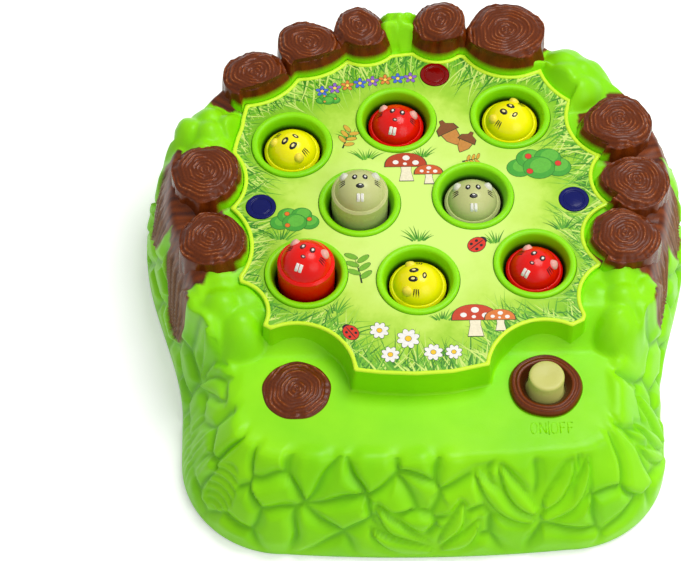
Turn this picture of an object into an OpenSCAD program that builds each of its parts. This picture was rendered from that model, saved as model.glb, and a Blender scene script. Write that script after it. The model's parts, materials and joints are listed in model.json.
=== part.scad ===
// Table-top whack-a-mole toy: a moulded casing shaped as a forest clearing, eight sprung moles that
// a motor-driven trip disc lets go one after another, a power button and three lamp lenses.
// Frame: +Z up, the front faces -Y, the origin is on the table under the middle of the casing.

/* [Casing] */
// Width of the casing at the table, across its round rear part
base_w = 283; // [276:1:296]
// Depth of the casing at the table, front to back
base_d = 295; // [288:1:308]
// Width of the narrower front block at the table
front_w = 243; // [236:1:254]
// Corner radius of the front block at the table
front_corner_r = 52; // [46:1:58]
// How far the front edge bows forward
front_bow = 3; // [1:0.5:6]
// How far the front skirt runs out from the ledge to the table
front_run = 27; // [24:1:30]
// How far the rear skirt runs out from the ledge height to the table
rear_run = 10; // [8:0.5:13]
// Height of the front ledge above the table
ledge_h = 52; // [50:0.5:55]
// Height of the printed play field above the table
field_h = 68; // [66:0.5:72]
// Wall thickness of the casing
wall = 2.4; // [2:0.1:3]
// How far the rocks on the skirt stand out of the gaps between them
rock_h = 2.4; // [1.5:0.1:3]
// Height of the bead round the play field
bead_h = 0.8; // [0.5:0.1:1.5]
// Width of the bead round the play field
bead_w = 2; // [1.5:0.1:3]
// Thickness of the printed sheet
print_t = 0.3; // [0.2:0.05:0.5]
// Thickness of the bottom cover
cover_t = 2.4; // [2:0.1:3]
// Gap round the bottom cover
cover_gap = 0.4; // [0.3:0.05:0.6]
// Diameter of the rubber feet
foot_d = 16; // [12:1:20]
// Height of the rubber feet
foot_h = 1.5; // [1:0.1:2.5]

/* [Stumps] */
// Height of the tallest stump tops above the play field
stump_h = 15; // [11:0.5:18]
// How much wider a stump is at its foot than at its top, on the radius
stump_flare = 6; // [5:0.5:7]
// Height of the stumps' feet above the table
stump_foot = 26; // [20:1:34]
// Height of the log-slice badge and the button bezel above the ledge
slice_h = 4; // [2:0.5:6]
// Diameter of the log-slice badge
badge_d = 34; // [30:1:38]
// Outer diameter of the button bezel
bezel_d = 36; // [32:1:40]

/* [Moles] */
// Bore of a mole hole
hole_d = 30; // [28:0.5:32]
// Outer diameter of a hole collar
ring_d = 41.5; // [39:0.5:44]
// Height of a hole collar above the print
ring_h = 1.5; // [1:0.1:2.5]
// Mouth diameter of the funnel in a hole collar
mouth_d = 35.4; // [33:0.2:37]
// Depth of the funnel below the print
funnel_depth = 6.5; // [4:0.5:9]
// Outer diameter of a mole's sleeve
sleeve_d = 28.4; // [26:0.2:29]
// Wall of a mole's sleeve
sleeve_t = 1.8; // [1.4:0.1:2.2]
// Diameter of a mole's head where it meets the sleeve
head_d = 25.2; // [22:0.2:26]
// Height of a mole's head above its sleeve
head_h = 9.4; // [8:0.2:11]
// How far a lowered mole's sleeve top lies below the print
mole_sunk = 4.5; // [3:0.5:6]
// How far a mole travels
mole_travel = 15; // [13:0.5:16]
// Diameter of a mole's stem
stem_d = 6.8; // [6:0.2:8]
// Radial clearance of a stem in its bush
stem_clear = 0.3; // [0.25:0.05:0.4]
// Wire diameter of the mole springs
wire_d = 1.2; // [0.8:0.1:1.6]
// Mean diameter of the mole springs
coil_d = 17; // [15.5:0.5:19]
// Turns of a mole spring
coil_turns = 6; // [4:1:7]

/* [Mechanism] */
// Thickness of the mechanism plate
plate_t = 3; // [2.4:0.1:4]
// Thickness of a catch
catch_t = 2.6; // [2:0.1:3.2]
// Width of a catch's bar
catch_w = 4; // [3.4:0.2:5]
// Clearance between a released catch and its stem
catch_clear = 0.35; // [0.3:0.05:0.6]
// Depth of the groove that a catch drops into
groove_depth = 1.2; // [1:0.1:1.5]
// Diameter of the catches' pivot posts
pivot_d = 4; // [3.4:0.2:5]
// Running clearance of turning parts, on the radius
run_clear = 0.06; // [0.03:0.01:0.1]
// Tooth size of the gears
gear_module = 0.8; // [0.7:0.05:0.9]
// Teeth on the trip disc
disc_teeth = 38; // [34:1:42]
// Teeth on the motor pinion
pinion_teeth = 12; // [11:1:14]
// Thickness of the gears
gear_t = 3; // [2.5:0.1:3.5]
// Diameter of the disc axle
axle_d = 4; // [3:0.2:5]
// Diameter of the motor shaft
shaft_d = 3; // [2:0.2:4]
// Diameter of the motor can
motor_d = 18; // [15:0.5:19]
// Room between the motor and the deck above it
motor_room = 3.8; // [2:0.2:8]

/* [Electrics] */
// Thickness of the circuit boards
board_t = 1.6; // [1.2:0.1:2]
// Height of the posts under the main board
board_gap = 2.5; // [2:0.1:4]
// Height of a hit switch above the board
tact_h = 4.7; // [4:0.1:6]
// Diameter of a lamp lens
lens_d = 15; // [13:0.5:17]
// Diameter of the light-emitting diodes
led_d = 5; // [3:0.5:6]
// Diameter of a battery cell
cell_d = 14.2; // [13.5:0.1:14.5]
// Length of a battery cell's body
cell_len = 49.2; // [48:0.1:49.5]
// Diameter of the speaker
speaker_d = 40; // [36:1:42]
// Height of the speaker
speaker_h = 12; // [9:0.5:15]
// Diameter of the power button
button_d = 17.8; // [16:0.2:19]
// How far the power button stands above the ledge
button_h = 11; // [8:0.5:13]
// Travel of the power button
button_travel = 3; // [1.5:0.5:3.5]

/* [Hidden] */
$fn = 48;
bx = base_w / 2;
by = base_d / 2;
fx = front_w / 2;
// Sideways gap of parts that pass each other, and the small overlap that joins solids of one piece
pass_gap = 0.3;
join = 0.5;

// Levels, from the table up
rim_z = foot_h;
cover_top = rim_z + cover_t;
board_z = cover_top + board_gap;
board_top = board_z + board_t;
tact_top = board_top + tact_h;
stem_end = tact_top + pass_gap;
stem_tip = 3.4;
catch_z = stem_end + stem_tip;
catch_top = catch_z + catch_t;
gear_z = catch_top + 1.4;
gear_top = gear_z + gear_t;
plate_z = gear_top + 0.6;
plate_top = plate_z + plate_t;
sleeve_bottom = plate_top + 2.5;
flange_t = 2;
cup_bottom = sleeve_bottom + mole_travel + flange_t + pass_gap;
ledge_under = ledge_h - wall;
collar_z = field_h - 1.5;
deck_z = field_h - print_t;
deck_under = deck_z - wall;
bead_z = field_h + bead_h;
ring_z = field_h + ring_h;
shoulder_z = field_h - mole_sunk;
ceiling_z = shoulder_z - 2;

// Radii
hole_r = hole_d / 2;
ring_r = ring_d / 2;
sleeve_r = sleeve_d / 2;
flange_r = hole_r + 1.2;
head_r = head_d / 2;
stem_r = stem_d / 2;
groove_r = stem_r - groove_depth;
bush_r = stem_r + stem_clear;
pivot_r = pivot_d / 2;
axle_r = axle_d / 2;
shaft_r = shaft_d / 2;
button_r = button_d / 2;
lens_r = lens_d / 2;
lens_flange_r = lens_r + 1.5;
lens_flange_t = 1.5;
lens_proud = 0.4;
lens_socket = 7;
screw_r = 1.25;
screw_head_r = 2.6;
screw_head_t = 1.3;
small_screw_r = 1;
small_head_r = 2.2;
small_head_t = 1.5;
pilot_gap = 0.05;

// Moles: name, place, raised or not, turn of the face about the stem, colour
MOLES = [
  ["back_left", [-64, 56.5], 0, 143, "gold"],
  ["back_middle", [-10, 71.5], 0, -15, "crimson"],
  ["back_right", [49, 73], 0, 44, "gold"],
  ["middle_left", [-30, 19.5], 1, 0, "darkkhaki"],
  ["middle_right", [27.5, 23], 0, 0, "darkkhaki"],
  ["front_left", [-57.5, -23], 1, -25, "crimson"],
  ["front_middle", [-2, -27.5], 0, 83, "gold"],
  ["front_right", [56.5, -19], 0, -38, "crimson"]
];

// Places on the ledge and the field
badge_at = [-63, -81];
button_at = [59, -81];
red_at = [11, 101];
blue_left_at = [-80, 18];
blue_right_at = [78.5, 20];
notch_r = 28;

// Stumps round the field: place of the top, radius of the top, drop below the tallest one
STUMPS = [
  [[-108, 34], 17, 3],
  [[-104.5, -6], 16, 4],
  [[-82.5, 95], 16, 2],
  [[-55, 113.5], 16, 1],
  [[-28, 123.5], 13.5, 0],
  [[14.5, 124.5], 13.5, 0],
  [[48.5, 117], 17.5, 1],
  [[103.5, 62], 17, 3],
  [[111, 23], 16.5, 4],
  [[102, -9], 16.5, 4]
];

// Rocks between the stumps: place of the top, radius of the top, drop below the tallest stump
ROCKS = [
  [[-100.5, -36], 12, 13],
  [[101.5, -35], 12, 13],
  [[-110, 62], 13, 6],
  [[80.5, 96.5], 14, 6],
  [[-7, 126], 6, 4]
];

// Scallops that stumps and rocks press into the field's edge: place, radius
SCALLOPS = [
  [[-117, -6], 31.5],
  [[-114, 35], 25.5],
  [[-127, 76], 37],
  [[-89, 114.5], 31.5],
  [[-59, 131], 31],
  [[-25, 126], 17.4],
  [[13, 126.5], 16.5],
  [[51, 126.5], 27],
  [[99, 111], 33],
  [[104.5, 71], 25.5],
  [[109.5, 33], 20.5],
  [[102, -3], 19.7],
  [[100, -40], 22],
  [[-95, -45], 17.6],
  [badge_at, notch_r],
  [button_at, notch_r]
];

// Corners of the field before the scallops are cut, anticlockwise from the front right
FIELD = [
  [79, -53], [90, -18.5], [97.5, 16], [95, 47.5], [82, 83], [66.5, 106], [25, 114],
  [1, 116], [-12, 114.5], [-34.5, 111.5], [-60.5, 100], [-88, 83], [-94.5, 54], [-96.5, 16.5],
  [-90.5, -28], [-79.5, -53], [-39, -79.5], [-22, -82], [-5, -83], [13, -82], [31, -78]
];

// Screw towers of the casing: two under the ledge, four under stumps
ledge_post_in = [41.5, 39.5];
ledge_post = [fx - ledge_post_in[0], ledge_post_in[1] - by];
CASE_POSTS = [
  [-ledge_post[0], ledge_post[1], ledge_h],
  [ledge_post[0], ledge_post[1], ledge_h],
  for (s = [STUMPS[0], STUMPS[3], STUMPS[6], STUMPS[8]]) [s[0][0], s[0][1], stump_top(s)]
];
case_post_r = 3.6;
case_screw_len = 9;

// Mechanism plate and its hangers
PLATE_POSTS = [[-52, 30], [46, 46], [-30, -24], [28, -23]];
plate_post_r = 3.4;
plate_low = [-78, -44];
plate_high = [72, 89];
plate_corner = 8;
bush_h = 14;
bush_wall = 1.8;
plate_screw_len = 8;
switch_screw_len = 5;

// Trip disc, pinion and motor
disc_at = [-1.5, 21];
gear_gap = gear_module * (disc_teeth + pinion_teeth) / 2;
motor_turn = 90;
motor_at = disc_at + gear_gap * [cos(motor_turn), sin(motor_turn)];
backlash = 0.25;
addendum = 0.8;
dedendum = 1.2;
pressure = 20;
disc_r = 11;
nose_r = 15.2;
nose_w = 3;
gearbox_size = [22, 18, 9];
motor_boss = shaft_d / 2;
motor_len = deck_under - motor_room - motor_boss - plate_top - gearbox_size[2];
motor_screw_gap = 16;
motor_screw_len = 4;
motor_screw_head = 0.5;
motor_flats = 0.8;

// Catches: bar beside the line from the disc to the stem, pivot half way along it
tail_at = nose_r + catch_clear;
catch_side = stem_r + catch_clear + catch_w / 2;
catch_hub_r = pivot_r + 2.4;
catch_over = 2.5;
pivot_share = 0.5;
pivot_drop = 0.2;
catch_screw_len = 4.5;

// Boards
board_low = [-76, -40];
board_high = [70, 86];
BOARD_POSTS = [[-66, 16], [60, 34], [-30, -32], [26, -32]];
board_post_r = 3;
tact_size = 6;
tact_body = 3.5;

// Battery bay
bay_front = 44.5;
bay_at = [0, bay_front - by];
cell_pitch = cell_d + 0.4;
cell_count = 3;
contact_t = 0.5;
contact_spring = 2.2;
cell_nub = 1.2;
cell_nub_d = 5.4;
bay_wall = 2;
bay_in = [cell_len + cell_nub + contact_spring + 2 * contact_t + 0.4, cell_count * cell_pitch + 0.6];
door_t = 2;
door_lip = 2;
door_gap = 0.35;
door_ear = 8;
door_size = [bay_in[0] + 2 * door_ear, bay_in[1] + 2 * door_lip];
bay_floor = rim_z + door_t;
cell_z = bay_floor + 0.3 + cell_d / 2;
bay_top = cell_z + cell_d / 2 + 0.4;
door_screw_at = bay_in[0] / 2 + door_ear / 2;
door_screw_len = 8;

// Speaker
speaker_front = 66.5;
speaker_at = [badge_at[0], speaker_front - by];
speaker_r = speaker_d / 2;
grille_hole_r = 1.6;
speaker_rim = 3;
speaker_surround = 2;

// Power switch
switch_size = 8.5;
switch_h = 9.5;
plunger_r = 2;
button_flange_r = button_r + 2.3;
button_flange_t = 2;
button_top = ledge_h + button_h;
flange_top = ledge_under - pass_gap;
button_hole_r = button_r + 0.6;
button_core = 8.9;
plunger_stub = 1;
plunger_top = flange_top - button_flange_t - button_core;
switch_board_top = plunger_top - plunger_stub - button_travel - switch_h;
switch_board_z = switch_board_top - board_t;
plunger_low = switch_board_top + button_travel + 1.5;
switch_margin = 4;
switch_post = button_flange_r + switch_margin;
switch_board_w = 20;
switch_board_size = [2 * (switch_post + switch_margin), switch_board_w];

front_foot_in = [36.5, 28.5];
front_foot = [fx - front_foot_in[0], front_foot_in[1] - by];
back_foot_in = 43.5;
back_foot = [bx - back_foot_in, 82];
FOOT_AT = [for (x = [-1, 1], f = [front_foot, back_foot]) [x * f[0], f[1]]];
foot_r = foot_d / 2;

function mole_node(kind) = [for (m = MOLES) str(kind, "_", m[0])];

// Functions

function unit(v) = v / norm(v);
function left_of(v) = [-v[1], v[0]];
function smooth(t) = let(c = max(0, min(1, t))) c * c * (3 - 2 * c);
function stump_top(s) = field_h + stump_h - s[2];
function flat3(points, z) = [for (p = points) [p[0], p[1], z]];

// A closed anticlockwise outline with each corner moved inwards by its own distance
function inset(points, d) = let(n = len(points)) [
  for (i = [0 : n - 1])
    let(
      a = left_of(unit(points[i] - points[(i + n - 1) % n])),
      b = left_of(unit(points[(i + 1) % n] - points[i]))
    )
    points[i] + (a + b) * d[i] / (1 + a * b)
];
function inset_all(points, d) = inset(points, [for (p = points) d]);

// One half of the casing's outline at the table, from the front to the back. A lower power fills the rear corner.
corner_x = fx - front_corner_r;
corner_y = front_bow - by + front_corner_r;
waist_y = -68;
lobe_y = 33;
right_lobe_power = 0.92;
left_lobe_power = 1;
function side_x(y) = fx + (bx - fx) * smooth((y - waist_y) / (lobe_y - waist_y));
function half_outline(power) = concat(
  [for (x = [0, corner_x / 2]) [x, front_bow * pow(x / corner_x, 2) - by]],
  [for (a = [-90 : 15 : 0]) [corner_x + front_corner_r * cos(a), corner_y + front_corner_r * sin(a)]],
  [for (y = [waist_y : 15.5 : lobe_y - 15]) [side_x(y), y]],
  [for (a = [0 : 6 : 90]) [bx * pow(cos(a), power), lobe_y + (by - lobe_y) * pow(sin(a), power)]]
);
function both_sides(right, left) =
  concat(right, [for (i = [len(left) - 2 : -1 : 1]) [-left[i][0], left[i][1]]]);
RIGHT = half_outline(right_lobe_power);
LEFT = half_outline(left_lobe_power);
OUTLINE = both_sides(RIGHT, LEFT);

// Plan of the bank round the field at the table: the casing's outline, cut off behind the ledge
bank_z = ledge_h - 10;
bank_front = -62;
bank_corner_r = 24;
bank_low_run = rear_run - 2;
bank_high_run = rear_run + 5;
bank_corner = [side_x(bank_front + bank_corner_r) - bank_corner_r, bank_front + bank_corner_r];
function half_bank(side) = concat(
  [[0, bank_front]],
  [for (a = [-90 : 18 : 0]) bank_corner + bank_corner_r * [cos(a), sin(a)]],
  [for (p = side) if (p[1] > bank_corner[1] + 1) p]
);
BANK = both_sides(half_bank(RIGHT), half_bank(LEFT));

// Skirt: how far the wall has come in from the table outline at a share t of the ledge height
skirt_steps = 5;
skirt_power = 1.6;
run_change = [waist_y - 8, waist_y + 28];
function run_at(y) =
  front_run + (rear_run - front_run) * smooth((y - run_change[0]) / (run_change[1] - run_change[0]));
function skirt_ring(t, z, extra) =
  flat3(inset(OUTLINE, [for (p = OUTLINE) run_at(p[1]) * pow(t, skirt_power) + extra]), z);

// Points along the casing's outline, measured anticlockwise from the front middle
function run_to(points, i) = i == 0 ? 0 : run_to(points, i - 1) + norm(points[i] - points[i - 1]);
LOOP = concat(OUTLINE, [OUTLINE[0]]);
LOOP_RUN = [for (i = [0 : len(LOOP) - 1]) run_to(LOOP, i)];
outline_len = LOOP_RUN[len(LOOP) - 1];
function outline_at(s) =
  [for (k = [0, 1]) lookup(s, [for (i = [0 : len(LOOP) - 1]) [LOOP_RUN[i], LOOP[i][k]]])];
function round_gap(s, place) =
  let(g = s - place + outline_len / 2) g - floor(g / outline_len) * outline_len - outline_len / 2;
function hash(i, seed) = let(v = sin((i * 127.1 + seed * 311.7) * 180 / PI) * 43758.5453) v - floor(v);

// Rocks moulded on the skirt: place along the outline and height. Those at the front are placed one by one,
// the others are scattered at the same spacing.
rock_gap = [24, 16];
rock_first_z = 8;
front_reach = 128;
FRONT_ROCKS = [
  [-80, 47], [-57, 46], [-26, 48], [-78, 38], [-46, 40], [-43, 28], [-15, 36], [-96, 23], [-76, 18], [-55, 17],
  [-29, 13], [-13, 20], [-3, 48], [-6, 40], [12, 47], [17, 36], [38, 17], [26, 10], [72, 22], [68, 10], [97, 39],
  [95, 22], [22, 20], [65, 32], [-112, 38], [-119, 22], [118, 31], [40, 34], [104, 8], [-98, 8], [4, 8], [-45, 6]
];
SKIRT_ROCKS = concat(FRONT_ROCKS, [
  for (i = [0 : floor(outline_len / rock_gap[0]) - 1], j = [0 : 2])
    let(n = 3 * i + j, place = (i + 0.25 + 0.5 * hash(n, 1) + 0.5 * (j % 2)) * rock_gap[0])
    if (abs(round_gap(place, 0)) > front_reach)
      [round_gap(place, 0), rock_first_z + rock_gap[1] * (j + 0.3 * hash(n, 2))]
]);

// How far the skirt stands out at a place: a rounded bump round each rock, sunk to the gaps between them
rock_edge = 5;
rock_sunk = 0.4;
rock_upright = 1.25;
rock_least = 0.6;
rock_step = 8;
rock_rows = 10;
function second_least(v, i) = min([for (k = [0 : len(v) - 1]) if (k != i) v[k]]);
function rock_stand(s, z) = let(
    away = [for (r = SKIRT_ROCKS) norm([round_gap(s, r[0]), rock_upright * (z - r[1])])],
    first = min(away),
    i = [for (k = [0 : len(away) - 1]) if (away[k] == first) k][0],
    edge = (second_least(away, i) - first) / 2
  )
  rock_h * ((rock_least + (1 - rock_least) * hash(i, 8)) * smooth(edge / rock_edge) - rock_sunk);
function rock_fade(t) = smooth(t / 0.25) * (1 - smooth((t - 0.85) / 0.15));
rock_count = round(outline_len / rock_step);
ROCK_RUN = [for (k = [0 : rock_count - 1]) k * outline_len / rock_count];
ROCK_LOOP = [for (s = ROCK_RUN) outline_at(s)];
function rock_ring(t, z) = flat3(
  inset(ROCK_LOOP, [
    for (k = [0 : rock_count - 1])
      run_at(ROCK_LOOP[k][1]) * pow(t, skirt_power) - rock_stand(ROCK_RUN[k], z) * rock_fade(t)
  ]), z);

// Involute gear outline with shortened teeth and some backlash
function involute(a) = tan(a) - a * PI / 180;
function flank(rp, s, r) =
  (s / (2 * rp) + involute(pressure) - involute(acos(min(1, rp * cos(pressure) / r)))) * 180 / PI;
function gear_points(teeth) = let(
    rp = gear_module * teeth / 2,
    s = PI * gear_module / 2 - backlash,
    low = max(rp * cos(pressure), rp - dedendum * gear_module),
    high = rp + addendum * gear_module,
    root = rp - dedendum * gear_module,
    radii = [low, (low + rp) / 2, rp, (rp + high) / 2, high],
    up = concat([[root, flank(rp, s, low)]], [for (r = radii) [r, flank(rp, s, r)]])
  ) [
    for (k = [0 : teeth - 1])
      let(c = k * 360 / teeth)
      for (q = concat([for (u = up) [u[0], c - u[1]]], [for (j = [len(up) - 1 : -1 : 0]) [up[j][0], c + up[j][1]]]))
        q[0] * [cos(q[1]), sin(q[1])]
  ];

// Shapes that repeat

// A solid through closed rings of the same number of points, from the lowest to the highest
module loft(rings) {
  n = len(rings[0]);
  m = len(rings);
  polyhedron(
    points = [for (r = rings) each r],
    faces = concat(
      [[for (i = [0 : n - 1]) i]],
      [for (k = [0 : m - 2]) for (i = [0 : n - 1]) [k * n + i, (k + 1) * n + i, (k + 1) * n + (i + 1) % n]],
      [for (k = [0 : m - 2]) for (i = [0 : n - 1]) [k * n + i, (k + 1) * n + (i + 1) % n, k * n + (i + 1) % n]],
      [[for (i = [n - 1 : -1 : 0]) (m - 1) * n + i]]
    )
  );
}

// A coil spring of round wire standing between two levels
module spring(mean_r, wire_r, low, high, turns) {
  sides = 6;
  steps = 8;
  count = turns * steps;
  rise = high - low - 2 * wire_r;
  rings = [
    for (k = [0 : count])
      let(a = k * 360 / steps, z = low + wire_r + rise * k / count)
      [for (j = [0 : sides - 1])
        let(b = -j * 360 / sides, r = mean_r + wire_r * cos(b))
        [r * cos(a), r * sin(a), z + wire_r * sin(b)]]
  ];
  loft(rings);
}

module tube(outer, inner, h) {
  difference() {
    cylinder(r = outer, h = h);
    translate([0, 0, -1]) cylinder(r = inner, h = h + 2);
  }
}

module plate_2d(low, high, corner) {
  size = high - low;
  translate(low + [corner, 0]) square([size[0] - 2 * corner, size[1]]);
  translate(low + [0, corner]) square([size[0], size[1] - 2 * corner]);
  for (x = [low[0] + corner, high[0] - corner], y = [low[1] + corner, high[1] - corner])
    translate([x, y]) circle(r = corner);
}

// A pan-head screw with its head below and its point up, seated at the origin
module screw_up(shank_r, head_r, head_t, len) {
  translate([0, 0, -head_t]) cylinder(r = head_r, h = head_t);
  translate([0, 0, -join]) cylinder(r = shank_r, h = len + join);
}

module slab(z0, z1) {
  translate([0, 0, z0]) linear_extrude(height = z1 - z0) children();
}

// Field outline moved inwards by d
module field_2d(d) {
  difference() {
    polygon(inset_all(FIELD, d));
    for (s = SCALLOPS) translate(s[0]) circle(r = s[1] + d);
  }
}

// Bank that carries the stumps and rocks, with its roof at a given level, moved inwards by d
module bank(d, top) {
  steps = 3;
  loft([
    for (k = [0 : steps])
      let(t = k / steps)
      flat3(inset_all(BANK, bank_low_run + (bank_high_run - bank_low_run) * t + d), bank_z + t * (top - bank_z))
  ]);
}

module log_cone(s, d) {
  translate([s[0][0], s[0][1], stump_foot])
    cylinder(r1 = s[1] + stump_flare - d, r2 = s[1] - d, h = stump_top(s) - d - stump_foot);
}

// Everything that stands on the skirt, moved inwards by d, with the field's roof at a given level
module upper_form(d, field_top) {
  slab(bank_z, field_top) field_2d(d);
  bank(d, collar_z - d);
  for (s = STUMPS) color("saddlebrown") log_cone(s, d);
  for (s = ROCKS) log_cone(s, d);
}

module skirt_outer() {
  loft([for (k = [0 : rock_rows]) let(t = k / rock_rows) rock_ring(t, rim_z + t * (ledge_h - rim_z))]);
}

module skirt_inner() {
  loft(concat(
    [skirt_ring(0, rim_z - 1, wall), skirt_ring(0, cover_top, wall)],
    [for (k = [1 : skirt_steps]) let(t = k / skirt_steps)
      skirt_ring(t, cover_top + t * (ledge_under - cover_top), wall)]
  ));
}

// Casing pieces

module top_shell() {
  color("limegreen") difference() {
    union() {
      difference() {
        union() {
          skirt_outer();
          upper_form(0, bead_z);
        }
        skirt_inner();
        upper_form(wall, deck_under);
        slab(deck_z, bead_z + 1) field_2d(bead_w);
      }
      for (m = MOLES) translate(m[1]) {
        translate([0, 0, cup_bottom]) cylinder(r = hole_r + wall, h = deck_z - cup_bottom);
        translate([0, 0, deck_under]) cylinder(r = ring_r, h = ring_z - deck_under);
      }
      for (p = CASE_POSTS)
        translate([p[0], p[1], cover_top]) cylinder(r = case_post_r, h = p[2] - wall / 2 - cover_top);
      for (p = PLATE_POSTS)
        translate([p[0], p[1], plate_top]) cylinder(r = plate_post_r, h = deck_z - wall / 2 - plate_top);
      for (x = [-switch_post, switch_post])
        translate([button_at[0] + x, button_at[1], switch_board_top])
          cylinder(r = board_post_r, h = ledge_h - wall / 2 - switch_board_top);
      color("saddlebrown") {
        translate([badge_at[0], badge_at[1], ledge_h - join])
          cylinder(r1 = badge_d / 2 + 1, r2 = badge_d / 2 - 1, h = slice_h * 0.6 + join);
        translate([button_at[0], button_at[1], ledge_h - join])
          cylinder(r1 = bezel_d / 2 + 1, r2 = bezel_d / 2 - 1, h = slice_h + join);
      }
    }
    for (m = MOLES) translate(m[1]) {
      translate([0, 0, cup_bottom - 1]) cylinder(r = hole_r, h = ring_z - cup_bottom + 2);
      translate([0, 0, field_h - funnel_depth])
        cylinder(r1 = hole_r - 0.01, r2 = mouth_d / 2, h = funnel_depth + ring_h + 0.01);
    }
    for (p = CASE_POSTS)
      translate([p[0], p[1], cover_top - 1]) cylinder(r = screw_r + pilot_gap, h = case_screw_len + 3);
    for (p = PLATE_POSTS)
      translate([p[0], p[1], plate_top - 1]) cylinder(r = small_screw_r + pilot_gap, h = plate_screw_len + 3);
    for (x = [-switch_post, switch_post])
      translate([button_at[0] + x, button_at[1], switch_board_top - 1])
        cylinder(r = small_screw_r + pilot_gap, h = switch_screw_len + 3);
    for (p = [red_at, blue_left_at, blue_right_at]) {
      translate([p[0], p[1], deck_under - 1]) cylinder(r = lens_r + pilot_gap, h = wall + 3);
      translate([p[0], p[1], deck_under - 2 * lens_flange_t])
        cylinder(r = lens_flange_r + pass_gap, h = 2 * lens_flange_t);
    }
    translate([button_at[0], button_at[1], ledge_under - 1]) cylinder(r = button_hole_r, h = wall + slice_h + 2);
    translate([button_at[0], button_at[1], ledge_h])
      cylinder(r1 = button_hole_r - 0.01, r2 = button_hole_r + 2, h = slice_h + 0.01);
  }
}

module bottom_cover() {
  bay = bay_in + [2 * bay_wall, 2 * bay_wall];
  ear_at = [for (x = [-door_screw_at, door_screw_at]) bay_at + [x, 0]];
  color("dimgray") difference() {
    union() {
      slab(rim_z, cover_top) polygon(inset_all(OUTLINE, wall + cover_gap));
      slab(rim_z, bay_top + bay_wall) translate(bay_at - bay / 2) square(bay);
      for (p = ear_at) translate([p[0], p[1], rim_z]) cylinder(r = door_ear / 2, h = door_t + door_screw_len + 2);
      for (p = BOARD_POSTS) translate([p[0], p[1], rim_z]) cylinder(r = board_post_r, h = board_z - rim_z);
      translate([speaker_at[0], speaker_at[1], rim_z])
        tube(speaker_r + pass_gap + bay_wall, speaker_r + pass_gap, cover_t + 5);
    }
    slab(rim_z - 1, bay_floor) translate(bay_at - door_size / 2 - [door_gap, door_gap])
      square(door_size + 2 * [door_gap, door_gap]);
    slab(rim_z - 1, bay_top) translate(bay_at - bay_in / 2) square(bay_in);
    for (p = ear_at)
      translate([p[0], p[1], rim_z]) cylinder(r = screw_r + pilot_gap, h = door_t + door_screw_len);
    for (p = BOARD_POSTS)
      translate([p[0], p[1], cover_top]) cylinder(r = small_screw_r + pilot_gap, h = board_gap + 1);
    for (p = CASE_POSTS) {
      translate([p[0], p[1], rim_z - 1]) cylinder(r = screw_r + pass_gap, h = cover_t + 2);
      translate([p[0], p[1], rim_z - 1]) cylinder(r = screw_head_r + pass_gap, h = screw_head_t + 1.1);
    }
    for (ring = [0 : 2], k = [0 : max(0, 6 * ring - 1)])
      let(a = k * 360 / max(1, 6 * ring), r = ring * speaker_r / 3)
      translate([speaker_at[0] + r * cos(a), speaker_at[1] + r * sin(a), rim_z - 1])
        cylinder(r = grille_hole_r, h = cover_t + 2);
  }
}

module feet() {
  color("black") for (p = FOOT_AT) translate(p) cylinder(r = foot_r, h = foot_h);
}

module casing_screws() {
  color("silver") for (p = CASE_POSTS)
    translate([p[0], p[1], rim_z + screw_head_t + 0.1])
      screw_up(screw_r, screw_head_r, screw_head_t, case_screw_len);
}

module playfield_print() {
  color("palegreen") slab(deck_z, field_h) difference() {
    field_2d(bead_w + 0.2);
    for (m = MOLES) translate(m[1]) circle(r = ring_r + pass_gap);
    for (p = [red_at, blue_left_at, blue_right_at]) translate(p) circle(r = lens_r + pass_gap);
  }
}

// A lens with a flange under the deck and a socket for its diode
module lens(at) {
  socket_r = led_d / 2 + 1.6;
  translate([at[0], at[1], 0]) {
    translate([0, 0, deck_under - lens_flange_t]) cylinder(r = lens_flange_r, h = lens_flange_t);
    translate([0, 0, deck_under - join]) cylinder(r = lens_r, h = field_h + lens_proud - deck_under + join);
    translate([0, 0, deck_under - lens_socket]) tube(socket_r, led_d / 2 + 0.1, lens_socket - 1);
  }
}

module red_lens() color("red") lens(red_at);
module blue_lens_left() color("navy") lens(blue_left_at);
module blue_lens_right() color("navy") lens(blue_right_at);

module indicator_leds() {
  led_r = led_d / 2;
  below = 0.5;
  body = lens_socket + below - lens_flange_t - led_r;
  color("white") for (p = [red_at, blue_left_at, blue_right_at])
    translate([p[0], p[1], deck_under - lens_socket - below]) {
      cylinder(r = led_r, h = body);
      translate([0, 0, body]) sphere(r = led_r - 0.1);
      translate([0, 0, -1]) cylinder(r = led_r + 0.5, h = 1);
    }
}

// Mechanism

// Unit vector from the disc to a mole, its length, and a point given along it and to its left
function ray(m) = unit(m[1] - disc_at);
function reach(m) = norm(m[1] - disc_at);
function beside(m, along, side) = disc_at + ray(m) * along + left_of(ray(m)) * side;
function pivot_along(m) = tail_at + (reach(m) - tail_at) * pivot_share;
function pivot_of(m) = beside(m, pivot_along(m), catch_side);

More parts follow.
